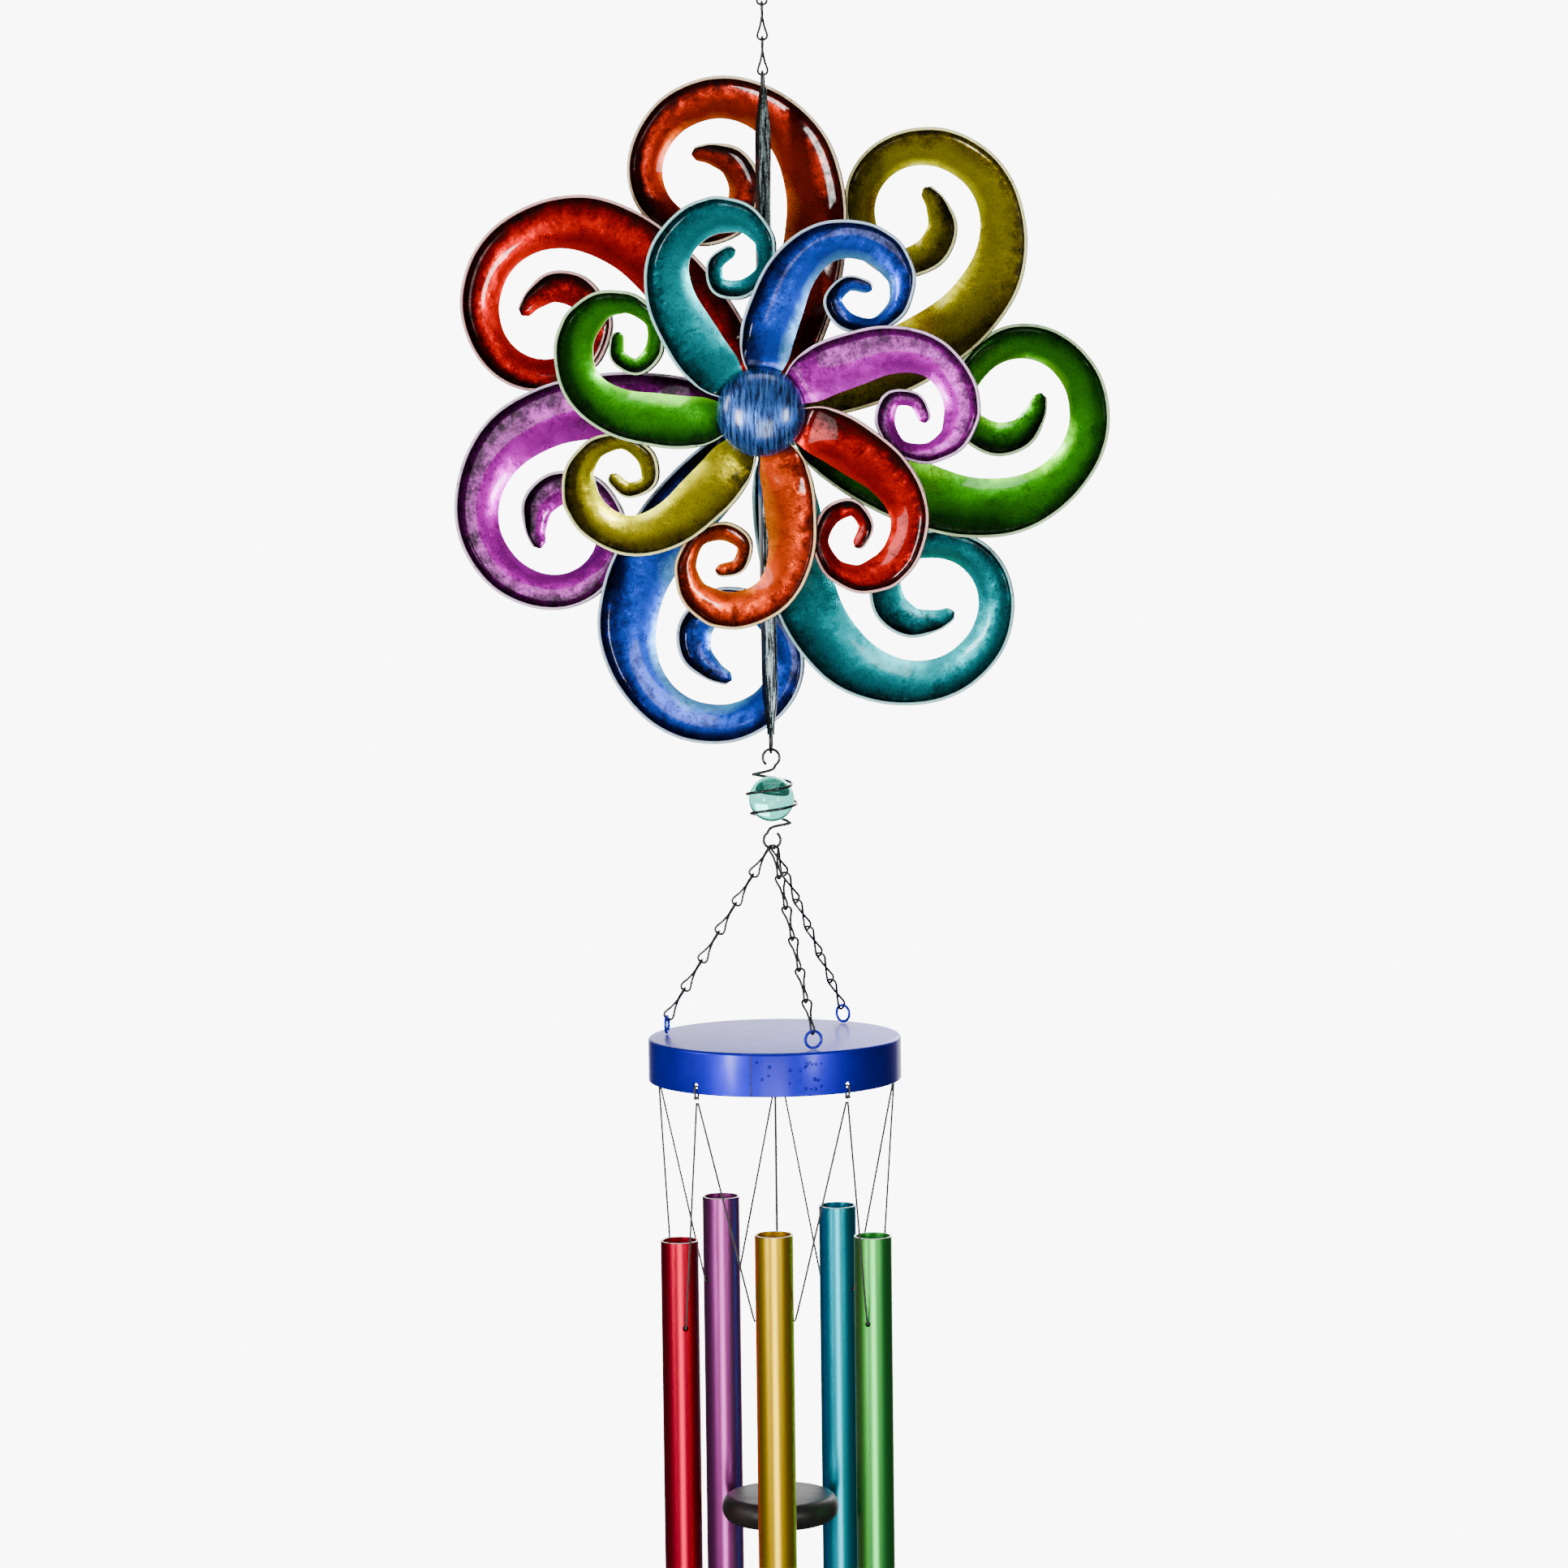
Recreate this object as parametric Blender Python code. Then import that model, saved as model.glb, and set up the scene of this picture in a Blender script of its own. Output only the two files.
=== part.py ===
"""A hanging wind spinner with a wind chime below it: a crescent frame on a chain carries two counter-turning
seven-petal rotors, and a marble in a wire cage, a drum on three chains and five tubes hang under it."""

import math

import bmesh
import bpy
from mathutils import Matrix, Vector

MM = 0.001
GAP = 0.3 * MM

# Hook and chain. The origin is the point inside the hook where the sculpture hangs.
HOOK_WIRE = 2.6 * MM
HOOK_BEND = 7.0 * MM
HOOK_DROP = 22.0 * MM
EYE_BEND = 4.0 * MM
CHAIN_WIRE = 1.2 * MM
LINK_LENGTH = 19.8 * MM
LINK_WIDTH = 6.2 * MM
TOP_LINKS = 4
RING_WIRE = 1.4 * MM
TOP_RING = 12.8 * MM
BOTTOM_RING_HEIGHT = 14.0 * MM
BOTTOM_RING_DEPTH = 11.4 * MM

# Crescent frame and the axle through its boss; -Y is the front.
FRAME_HEIGHT = 320.0 * MM
FRAME_BELLY = 12.0 * MM
FRAME_STRIP = (1.8 * MM, 5.2 * MM)
FRAME_WIDTH = (4.4 * MM, 7.8 * MM)
FRAME_TAPER = 24.0 * MM
FRAME_DEPTH = (3.2 * MM, 11.0 * MM)
RING_HOLE = 2.8 * MM
RING_HOLE_IN = 3.6 * MM
AXLE_RADIUS = 2.0 * MM
BOSS_RADIUS = 5.0 * MM
BUSH_RADIUS = 4.0 * MM
BUSH_CLEARANCE = 0.06 * MM
BUSH_LENGTH = 9.0 * MM
WASHER_THICKNESS = 1.0 * MM
NUT_THICKNESS = 3.0 * MM
AXLE_STICK_OUT = 1.2 * MM
REAR_PLANE = 25.0 * MM
FRONT_PLANE = -32.0 * MM

# Petals: sheet, turned-up outer lip and fan pitch. A station is (x, y, width) along the blade in millimetres,
# with the rotor's centre at 0,0, x outwards and y a quarter turn anticlockwise seen from the front.
SHEET = 1.0 * MM
LIP = 0.9 * MM
PETALS = 7
PETAL_PITCH = math.radians(12.0)
REAR_LIP_HEIGHT = 6.5 * MM
FRONT_LIP_HEIGHT = 6.0 * MM
REAR_STATIONS = (
    (8.3, -4.7, 8), (15, -8.4, 14), (25, -13.8, 26), (44, -24, 33), (65, -35.5, 33), (85, -43, 31.4),
    (101.6, -46.3, 30), (120.6, -45.4, 28.5), (136.3, -39.2, 25.2), (148.7, -28.9, 22.3), (157, -15.7, 21),
    (159.8, -0.8, 20.2), (156.5, 15.7, 19.4), (146.6, 28.9, 18.2), (133.4, 35.9, 17.8), (119, 35.9, 17),
    (106.6, 28.9, 14.9), (97, 16.5, 14), (95.4, 7.8, 14), (97.9, -2.5, 15.3), (103.7, -8.3, 15.7),
    (114.4, -12.4, 17), (126, -9, 15.3), (132.6, 0.4, 11), (134.6, 7, 8), (135.2, 11, 4.5),
)
FRONT_STATIONS = (
    (7.8, 5.4, 8), (14, 9.6, 14), (22.5, 15, 23), (32.7, 20.7, 26), (45, 25, 26), (59.7, 29, 24),
    (73.2, 29, 21.5), (83.8, 25.5, 19.6), (91.4, 18.8, 18.4), (96.6, 10, 18.4), (98.2, 2.4, 18),
    (97.8, -3.6, 17.6), (93.8, -13.6, 14.4), (85.4, -19.6, 11.2), (78.6, -21.1, 10), (69, -18.8, 8),
    (63.8, -13.6, 8), (60.4, -5, 9.6), (62.6, 3.6, 9.2), (67.4, 6.4, 8), (75.4, 4.8, 7.6),
    (79.2, -2, 6.8), (79.8, -6.2, 4),
)
REAR_TURN = math.radians(-1.0)
FRONT_TURN = 0.0
REAR_NAMES = ("green", "gold", "brown", "red", "purple", "blue", "teal")
FRONT_NAMES = ("magenta", "blue", "teal", "green", "gold", "orange", "red")
HUB_DISC_RADIUS = 20.0 * MM
HUB_DISC_THICKNESS = 1.2 * MM
DOME_RADIUS = 21.5 * MM
DOME_HEIGHT = 11.0 * MM
DOME_STAND_OFF = 4.0 * MM
DOME_WALL = 1.2 * MM
DOME_SOCKET = (6.3 * MM, 7.7 * MM)

# Marble in its wire cage.
MARBLE_RADIUS = 11.4 * MM
CAGE_WIRE = 1.45 * MM
CAGE_HALF_TURNS = 5
CAGE_COIL_REACH = 1.0 * MM
CAGE_END_COIL = 8.6 * MM
CAGE_LOOP_RADIUS = 4.2 * MM
CAGE_NECK = 1.8 * MM

# Drum on three chains.
SUPPORT_LINKS = 6
DRUM_RADIUS = 63.5 * MM
DRUM_HEIGHT = 21.5 * MM
DRUM_WALL = 1.2 * MM
DRUM_DROP = 94.5 * MM
DRUM_EYE_CIRCLE = 55.0 * MM
DRUM_EYE = 10.0 * MM
DRUM_EYE_WIRE = 1.5 * MM
DRUM_EYE_ANGLES = (-65.0, 55.0, 175.0)
RIM_HOLE = 3.0 * MM
RIM_HOLE_UP = 4.0 * MM

# Tubes, their strings and the striker.
TUBES = 5
FIRST_TUBE_ANGLE = 273.0
TUBE_NAMES = ("yellow", "green", "blue", "purple", "red")
TUBE_LENGTHS = (280.0 * MM, 270.0 * MM, 260.0 * MM, 300.0 * MM, 290.0 * MM)
TUBE_RADIUS = 9.5 * MM
TUBE_WALL = 1.0 * MM
TUBE_DROPS = (70.0 * MM, 77.6 * MM, 72.4 * MM, 67.2 * MM, 79.2 * MM)
TUBE_HOLE = 3.0 * MM
TUBE_HOLE_DOWN = 43.0 * MM
STRING = 1.0 * MM
KNOT_RADIUS = 1.7 * MM
CLAPPER_RADIUS = 29.5 * MM
CLAPPER_THICKNESS = 13.0 * MM
CLAPPER_DROP = 219.0 * MM
CLAPPER_BORE = 2.4 * MM
STRIKER_EYE = 7.0 * MM

# Levels that follow from the sizes above.
EYE_INSIDE = -(HOOK_DROP + HOOK_BEND + EYE_BEND)
LINK_PITCH = LINK_LENGTH - 2 * CHAIN_WIRE - GAP
FIRST_LINK = EYE_INSIDE + CHAIN_WIRE + GAP
TOP_RING_TOP = FIRST_LINK - TOP_LINKS * LINK_PITCH + (RING_WIRE - CHAIN_WIRE)
TOP_HOLE = TOP_RING_TOP - TOP_RING + RING_WIRE / 2
FRAME_TOP = TOP_HOLE + RING_HOLE_IN
HUB = FRAME_TOP - FRAME_HEIGHT / 2
BOTTOM_HOLE = FRAME_TOP - FRAME_HEIGHT + RING_HOLE_IN
BOTTOM_RING_LOW = BOTTOM_HOLE + RING_WIRE / 2 - BOTTOM_RING_HEIGHT
CAGE_TOP = BOTTOM_RING_LOW + RING_WIRE + GAP + CAGE_WIRE / 2
MARBLE = CAGE_TOP - 2 * CAGE_LOOP_RADIUS - 2 * CAGE_NECK - MARBLE_RADIUS - CAGE_WIRE
CAGE_LOW = 2 * MARBLE - CAGE_TOP
DRUM_TOP = CAGE_LOW - DRUM_DROP
DRUM_RIM = DRUM_TOP - DRUM_HEIGHT
KNOT_LEVEL = DRUM_RIM - KNOT_RADIUS - GAP
KNOT_CIRCLE = DRUM_RADIUS - DRUM_WALL / 2
TUBE_CIRCLE = KNOT_CIRCLE * math.cos(math.pi / TUBES)
CLAPPER = DRUM_RIM - CLAPPER_DROP


def clear_scene():
    for old in list(bpy.data.objects):
        bpy.data.objects.remove(old, do_unlink=True)


def material(name, colour, metallic, roughness):
    made = bpy.data.materials.new(name)
    made.use_nodes = True
    surface = made.node_tree.nodes["Principled BSDF"]
    surface.inputs["Base Color"].default_value = (*colour, 1.0)
    surface.inputs["Metallic"].default_value = metallic
    surface.inputs["Roughness"].default_value = roughness
    return made


def place(name, data, finish, at=(0, 0, 0), turn=(0, 0, 0)):
    """Links an object for this mesh or curve at a place, with its own finish."""
    made = bpy.data.objects.new(name, data)
    bpy.context.collection.objects.link(made)
    made.location = at
    made.rotation_euler = turn
    if not data.materials:
        data.materials.append(finish)
    made.material_slots[0].link = "OBJECT"
    made.material_slots[0].material = finish
    return made


def finished(name, bm, sharp=math.radians(35)):
    """A smooth-shaded mesh from this bmesh, its faces turned outwards."""
    bmesh.ops.recalc_face_normals(bm, faces=bm.faces)
    mesh = bpy.data.meshes.new(name)
    bm.to_mesh(mesh)
    bm.free()
    mesh.shade_smooth()
    mesh.set_sharp_from_angle(angle=sharp)
    return mesh


def loft(name, sections, closed=False):
    """A closed solid through sections that all have the same number of points."""
    bm = bmesh.new()
    rings = [[bm.verts.new(point) for point in section] for section in sections]
    count = len(rings[0])
    pairs = list(zip(rings, rings[1:]))
    if closed:
        pairs.append((rings[-1], rings[0]))
    for low, high in pairs:
        for i in range(count):
            j = (i + 1) % count
            bm.faces.new((low[i], low[j], high[j], high[i]))
    if not closed:
        bm.faces.new(rings[0])
        bm.faces.new(rings[-1])
    bmesh.ops.triangulate(bm, faces=bm.faces)
    return finished(name, bm)


def turned(name, profile, sides):
    """A closed outline of (radius, height) points turned about Z."""
    bm = bmesh.new()
    outline = [bm.verts.new((radius, 0, height)) for radius, height in profile]
    edges = [bm.edges.new(pair) for pair in zip(outline, outline[1:] + outline[:1])]
    bmesh.ops.spin(
        bm, geom=outline + edges, cent=(0, 0, 0), axis=(0, 0, 1), angle=2 * math.pi, steps=sides, use_merge=True
    )
    bmesh.ops.remove_doubles(bm, verts=bm.verts, dist=1e-6)
    bmesh.ops.dissolve_degenerate(bm, edges=bm.edges, dist=1e-7)
    return finished(name, bm)


def collar(name, bore, outside, low, high, finish, sides=24, along_y=True):
    """A plain ring about the axle, from one place along it to another."""
    profile = [(bore, low), (outside, low), (outside, high), (bore, high)]
    mesh = turned(name, profile, sides)
    if along_y:
        mesh.transform(Matrix.Rotation(-math.pi / 2, 4, "X"))
    return place(name, mesh, finish, (0, 0, HUB))


def wire(name, points, diameter, finish, closed=False, roundness=1, at=(0, 0, 0), turn=(0, 0, 0)):
    """Round wire or cord along these points."""
    curve = bpy.data.curves.new(name, "CURVE")
    curve.dimensions = "3D"
    curve.bevel_depth = diameter / 2
    curve.bevel_resolution = roundness
    curve.use_fill_caps = True
    spline = curve.splines.new("POLY")
    spline.points.add(len(points) - 1)
    for knot, point in zip(spline.points, points):
        knot.co = (*point, 1.0)
    spline.use_cyclic_u = closed
    return place(name, curve, finish, at, turn)


def join(target, cutter, operation):
    """Unites a piece with a helper, or cuts the helper out of it."""
    change = target.modifiers.new(operation.title(), "BOOLEAN")
    change.operation = operation
    change.solver = "EXACT"
    change.object = cutter
    cutter.hide_render = True
    cutter.display_type = "WIRE"


def ring_points(across, high, count, plane="YZ"):
    """An oval ring centred on 0,0,0, standing in the named plane."""
    points = []
    for i in range(count):
        angle = 2 * math.pi * (i + 0.5) / count
        side, up = across / 2 * math.cos(angle), high / 2 * math.sin(angle)
        points.append((0, side, up) if plane == "YZ" else (side, 0, up))
    return points


def link_points(length, width, diameter, count):
    """One jack-chain link about its middle: a loop in the YZ plane above and one in the XZ plane below."""
    half = (length - diameter) / 2
    waist = diameter / 2 + GAP / 2
    swell = ((width - diameter) / 2 - waist * 0.58) / 0.385
    points = []
    for i in range(count):
        angle = 2 * math.pi * i / count
        up = math.cos(angle)
        out = math.sin(angle) * (waist + swell * up * up)
        ease = min(max((up + 0.3) / 0.6, 0.0), 1.0)
        twist = math.pi / 2 * ease * ease * (3 - 2 * ease)
        points.append((out * math.cos(twist), out * math.sin(twist), half * up))
    return points


def smooth_path(stations, count):
    """Evenly spaced samples of a Catmull-Rom curve through the stations."""
    rows = [Vector(station) for station in stations]
    rows = [2 * rows[0] - rows[1]] + rows + [2 * rows[-1] - rows[-2]]
    fine = []
    for a, b, c, d in zip(rows, rows[1:], rows[2:], rows[3:]):
        for step in range(16):
            t = step / 16
            fine.append(
                0.5 * (2 * b + (c - a) * t + (2 * a - 5 * b + 4 * c - d) * t * t + (3 * b - a - 3 * c + d) * t**3)
            )
    fine.append(rows[-2])
    run = [0.0]
    for a, b in zip(fine, fine[1:]):
        run.append(run[-1] + (b - a).xy.length)
    samples, at = [], 0
    for i in range(count):
        goal = run[-1] * i / (count - 1)
        while at < len(run) - 2 and run[at + 1] < goal:
            at += 1
        part = (goal - run[at]) / (run[at + 1] - run[at])
        samples.append(fine[at].lerp(fine[at + 1], min(part, 1.0)))
    return samples


def rise(value, start, end):
    """0 before start, 1 after end, and a smooth step between."""
    share = min(max((value - start) / (end - start), 0.0), 1.0)
    return share * share * (3 - 2 * share)


def petal_mesh(name, stations, curl, lip_height, count):
    """A spiral sheet with a lip along its outer edge. curl is 1 for anticlockwise seen from the front, or -1."""
    path = smooth_path(stations, count)
    sections = []
    for i, spot in enumerate(path):
        ahead = path[min(i + 1, count - 1)] - path[max(i - 1, 0)]
        along = Vector((ahead.x, ahead.y)).normalized()
        out = Vector((along.y, -along.x)) * curl
        middle = Vector((spot.x, spot.y)) * MM
        half = spot.z * MM / 2
        forward = -curl * math.tan(PETAL_PITCH) * rise(middle.length, 13 * MM, 26 * MM)
        height = GAP + lip_height * rise(middle.length, 24 * MM, 40 * MM) * rise(count - 1 - i, 0.5, 4.5)

        def point(offset, deep):
            flat = middle + out * offset
            return flat.x, deep - forward * flat.y, flat.y

        sections.append((
            point(-half, 0), point(-half, SHEET), point(half, SHEET),
            point(half, -height), point(half - LIP, -height), point(half - LIP, 0),
        ))
    return loft(name, sections)


def make_hook(steel):
    """An S hook: a wide bend that opens sideways on top, and a small closed eye below."""
    bend = HOOK_BEND + HOOK_WIRE / 2
    eye = EYE_BEND + HOOK_WIRE / 2
    points = []
    for i in range(9):
        angle = math.radians(-35 + 215 * i / 8)
        points.append((-bend * math.cos(angle), 0, bend * math.sin(angle) - HOOK_BEND))
    points.append((bend * 0.96, 0, -HOOK_BEND - 5 * MM))
    centre = -HOOK_BEND - HOOK_DROP
    for i in range(13):
        angle = math.radians(75 - 320 * i / 12)
        points.append((eye * math.cos(angle), 0, centre + eye * math.sin(angle)))
    return wire("hanging_hook", points, HOOK_WIRE, steel)


def make_top_chain(steel):
    for i in range(TOP_LINKS):
        points = link_points(LINK_LENGTH, LINK_WIDTH, CHAIN_WIRE, 18)
        middle = FIRST_LINK - LINK_LENGTH / 2 - i * LINK_PITCH
        wire(f"top_chain_link_{i + 1}", points, CHAIN_WIRE, steel, True, 0, (0, 0, middle))


def make_frame(patina):
    """The crescent: a narrow front strip, a slanting left side, and depth that swells to the belly."""
    sections = []
    rows = 20
    for i in range(rows + 1):
        high = math.sin(math.pi / 2 * (-1 + 2 * i / rows))
        full = 1 - high * high
        broad = rise((1 - abs(high)) * FRAME_HEIGHT / 2, 0, FRAME_TAPER)
        width = FRAME_WIDTH[0] + (FRAME_WIDTH[1] - FRAME_WIDTH[0]) * broad
        strip = FRAME_STRIP[0] + (FRAME_STRIP[1] - FRAME_STRIP[0]) * broad
        depth = FRAME_DEPTH[0] + (FRAME_DEPTH[1] - FRAME_DEPTH[0]) * full
        front = -FRAME_BELLY * full - depth / 2
        right = width / 2
        z = HUB + high * FRAME_HEIGHT / 2
        sections.append((
            (right - strip, front, z), (right, front, z), (right, front + depth, z), (-right, front + depth, z),
            (-right, front + depth * 0.7, z),
        ))
    frame = place("frame", loft("frame", sections), patina)
    front = FRONT_PLANE + BUSH_LENGTH / 2 + 2 * GAP + WASHER_THICKNESS
    back = REAR_PLANE - BUSH_LENGTH / 2 - 2 * GAP - WASHER_THICKNESS
    boss = rod("frame_boss", BOSS_RADIUS, front, back, patina)
    bore = rod("frame_bore", AXLE_RADIUS + GAP, front - 5 * MM, back + 5 * MM, patina)
    join(frame, boss, "UNION")
    join(frame, bore, "DIFFERENCE")
    for name, level in (("top_ring_bore", TOP_HOLE), ("bottom_ring_bore", BOTTOM_HOLE)):
        join(frame, rod(name, RING_HOLE / 2, -8 * MM, 8 * MM, patina, level, 10), "DIFFERENCE")


def rod(name, radius, start, end, finish, level=None, sides=24):
    """A round bar along Y."""
    bm = bmesh.new()
    bmesh.ops.create_cone(
        bm, cap_ends=True, segments=sides, radius1=radius, radius2=radius, depth=end - start,
        matrix=Matrix.Rotation(math.pi / 2, 4, "X"),
    )
    return place(name, finished(name, bm), finish, (0, (start + end) / 2, HUB if level is None else level))


def nut(name, start, end, finish):
    """A hexagon nut on the axle."""
    bore = AXLE_RADIUS + GAP
    profile = [(bore, start), (2 * BUSH_RADIUS / math.sqrt(3), start), (2 * BUSH_RADIUS / math.sqrt(3), end), (bore, end)]
    mesh = turned(name, profile, 12)
    for vertex in mesh.vertices:
        flat = Vector((vertex.co.x, vertex.co.y))
        turn = round(math.degrees(math.atan2(flat.y, flat.x)) / 30)
        if flat.length > bore + GAP and turn % 2:
            vertex.co.xy = flat * math.cos(math.pi / 6)
    mesh.transform(Matrix.Rotation(-math.pi / 2, 4, "X"))
    return place(name, mesh, finish, (0, 0, HUB))


def make_rotor(side, plane, first_turn, stations, curl, lip_height, count, names, finishes, steel, brass):
    """Petals on a hub disc, turning on a bush."""
    mesh = petal_mesh(f"{side}_petal", stations, curl, lip_height, count)
    for i, colour in enumerate(names):
        turn = first_turn + 2 * math.pi * i / PETALS
        place(f"{side}_petal_{colour}", mesh, finishes[colour], (0, plane, HUB), (0, -turn, 0))
    disc = plane + SHEET + GAP
    collar(f"{side}_hub_disc", BUSH_RADIUS + GAP, HUB_DISC_RADIUS, disc, disc + HUB_DISC_THICKNESS, steel)
    half = BUSH_LENGTH / 2
    collar(f"{side}_bush", AXLE_RADIUS + BUSH_CLEARANCE, BUSH_RADIUS, plane - half, plane + half, brass)
    away = 1 if plane > 0 else -1
    inside = plane - away * (half + GAP)
    ends = sorted((inside, inside - away * WASHER_THICKNESS))
    collar(f"{side}_washer", AXLE_RADIUS + GAP, BOSS_RADIUS, *ends, steel)
    outside = plane + away * (half + GAP)
    nut(f"{side}_end_nut", *sorted((outside, outside + away * NUT_THICKNESS)), steel)


def make_axle(steel):
    reach = BUSH_LENGTH / 2 + GAP + NUT_THICKNESS + AXLE_STICK_OUT
    rod("axle", AXLE_RADIUS, FRONT_PLANE - reach, REAR_PLANE + reach, steel)


def make_dome(blue):
    """The blue cap over the front hub, with a socket that seats on the hub disc round the nut."""
    outer, inner = [], []
    for i in range(7):
        angle = math.pi / 2 * i / 6
        outer.append((DOME_RADIUS * math.cos(angle), DOME_HEIGHT * math.sin(angle)))
    shallow = DOME_HEIGHT - DOME_WALL
    for i in range(5):
        angle = math.pi / 2 * i / 6
        inner.append(((DOME_RADIUS - DOME_WALL) * math.cos(angle), shallow * math.sin(angle)))
    foot = -DOME_STAND_OFF - SHEET + GAP
    inside_top = shallow * math.sin(math.acos(DOME_SOCKET[0] / (DOME_RADIUS - DOME_WALL)))
    joint = shallow * math.sin(math.acos(DOME_SOCKET[1] / (DOME_RADIUS - DOME_WALL)))
    inner += [(DOME_SOCKET[1], joint), (DOME_SOCKET[1], foot), (DOME_SOCKET[0], foot), (DOME_SOCKET[0], inside_top)]
    profile = outer + [(0, shallow)] + inner[::-1]
    mesh = turned("front_dome", profile, 24)
    mesh.transform(Matrix.Rotation(math.pi / 2, 4, "X"))
    place("front_dome", mesh, blue, (0, FRONT_PLANE - DOME_STAND_OFF, HUB))


def make_cage(black_wire, glass):
    """Wire coiled round the marble, with a loop at each end; the lower half is the upper one turned over."""
    reach = MARBLE_RADIUS + CAGE_WIRE / 2 + 2 * GAP
    loop = CAGE_TOP - CAGE_LOOP_RADIUS - MARBLE
    coil = MARBLE_RADIUS + CAGE_COIL_REACH
    half = []
    for i in range(9):
        angle = math.radians(235 - 290 * i / 8)
        half.append(Vector((CAGE_LOOP_RADIUS * math.cos(angle), 0, loop + CAGE_LOOP_RADIUS * math.sin(angle))))
    half.append(Vector((0, 0.9 * MM, (loop - CAGE_LOOP_RADIUS + coil) / 2)))
    steps = 6 * CAGE_HALF_TURNS
    points = list(half)
    for i in range(steps + 1):
        level = coil * (1 - 2 * i / steps)
        out = max(math.sqrt(max(reach * reach - level * level, 0.0)), CAGE_END_COIL)
        angle = math.pi - math.pi * CAGE_HALF_TURNS * i / steps
        points.append(Vector((out * math.cos(angle), out * math.sin(angle), level)))
    points += [Vector((-point.x, point.y, -point.z)) for point in reversed(half)]
    wire("cage_wire", points, CAGE_WIRE, black_wire, roundness=0, at=(0, 0, MARBLE))
    bm = bmesh.new()
    bmesh.ops.create_uvsphere(bm, u_segments=16, v_segments=10, radius=MARBLE_RADIUS)
    place("marble", finished("marble", bm), glass, (0, 0, MARBLE))


def make_support_chains(steel, blue):
    """Three chains from the cage's lower loop to three eyes that stand on the drum."""
    eye_middle = DRUM_TOP + GAP + DRUM_EYE / 2
    for i, degrees in enumerate(DRUM_EYE_ANGLES):
        angle = math.radians(degrees)
        out = Vector((math.cos(angle), math.sin(angle), 0))
        eye = out * DRUM_EYE_CIRCLE + Vector((0, 0, eye_middle))
        points = ring_points(DRUM_EYE - DRUM_EYE_WIRE, DRUM_EYE - DRUM_EYE_WIRE, 14, "XZ")
        wire(f"drum_eye_{i + 1}", points, DRUM_EYE_WIRE, blue, True, 1, eye, (0, 0, angle + math.pi / 2))
        start = Vector((0, 0, CAGE_LOW)) - Vector((0, 0, CAGE_WIRE / 2 + GAP)) + out * 1.2 * MM
        end = eye + Vector((0, 0, DRUM_EYE / 2 + GAP)) - out * 0.5 * MM
        run = end - start
        pitch = run.length / SUPPORT_LINKS
        length = pitch + 0.6 * CHAIN_WIRE
        halves = []
        for first in (0, 1):
            bm = bmesh.new()
            for j in range(first, SUPPORT_LINKS, 2):
                add_link(bm, length, pitch, start, run, j)
            name = f"support_chain_{i + 1}" + ("_odd" if first else "")
            halves.append(place(name, finished(name, bm), steel))
        join(halves[0], halves[1], "UNION")


def add_link(bm, length, pitch, start, run, index):
    """A square-wire link of a support chain, in one piece with the next once they are joined."""
    points = [Vector(p) for p in link_points(length, LINK_WIDTH - 1.0 * MM, CHAIN_WIRE, 12)]
    frame = run.to_track_quat("-Z", "X").to_matrix()
    middle = start + run.normalized() * pitch * (index + 0.5)
    rings = []
    for i, point in enumerate(points):
        along = (points[(i + 1) % len(points)] - points[i - 1]).normalized()
        across = along.cross(Vector((1, 1, 0.3))).normalized()
        other = along.cross(across).normalized()
        half = CHAIN_WIRE * 0.62
        corners = (across * half, other * half, -across * half, -other * half)
        rings.append([bm.verts.new(middle + frame @ (point + corner)) for corner in corners])
    for low, high in zip(rings, rings[1:] + rings[:1]):
        best = min(range(4), key=lambda s: sum((low[k].co - high[(k + s) % 4].co).length for k in range(4)))
        turned_ring = high[best:] + high[:best]
        for k in range(4):
            bm.faces.new((low[k], low[(k + 1) % 4], turned_ring[(k + 1) % 4], turned_ring[k]))


def make_drum(blue):
    """A shallow drum, closed on top and open below, with a hole in the rim for each knot."""
    inner = DRUM_RADIUS - DRUM_WALL
    edge = 1.6 * MM
    profile = [
        (0, DRUM_TOP), (DRUM_RADIUS - edge, DRUM_TOP), (DRUM_RADIUS - edge * 0.3, DRUM_TOP - edge * 0.3),
        (DRUM_RADIUS, DRUM_TOP - edge), (DRUM_RADIUS, DRUM_RIM), (inner, DRUM_RIM),
        (inner, DRUM_TOP - DRUM_WALL), (0, DRUM_TOP - DRUM_WALL),
    ]
    drum = place("drum", turned("drum", profile, 40), blue)
    for i in range(TUBES):
        angle = knot_angle(i)
        bm = bmesh.new()
        bmesh.ops.create_cone(
            bm, cap_ends=True, segments=8, radius1=RIM_HOLE / 2, radius2=RIM_HOLE / 2, depth=12 * MM,
            matrix=Matrix.Rotation(math.pi / 2, 4, "Y"),
        )
        spot = (DRUM_RADIUS * math.cos(angle), DRUM_RADIUS * math.sin(angle), DRUM_RIM + RIM_HOLE_UP)
        cutter = place(f"rim_hole_{i + 1}", finished(f"rim_hole_{i + 1}", bm), blue, spot, (0, 0, angle))
        join(drum, cutter, "DIFFERENCE")


def tube_angle(i):
    return math.radians(FIRST_TUBE_ANGLE + 360 / TUBES * i)


def knot_angle(i):
    """The knot on the clockwise side of tube i."""
    return tube_angle(i) - math.pi / TUBES


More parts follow.
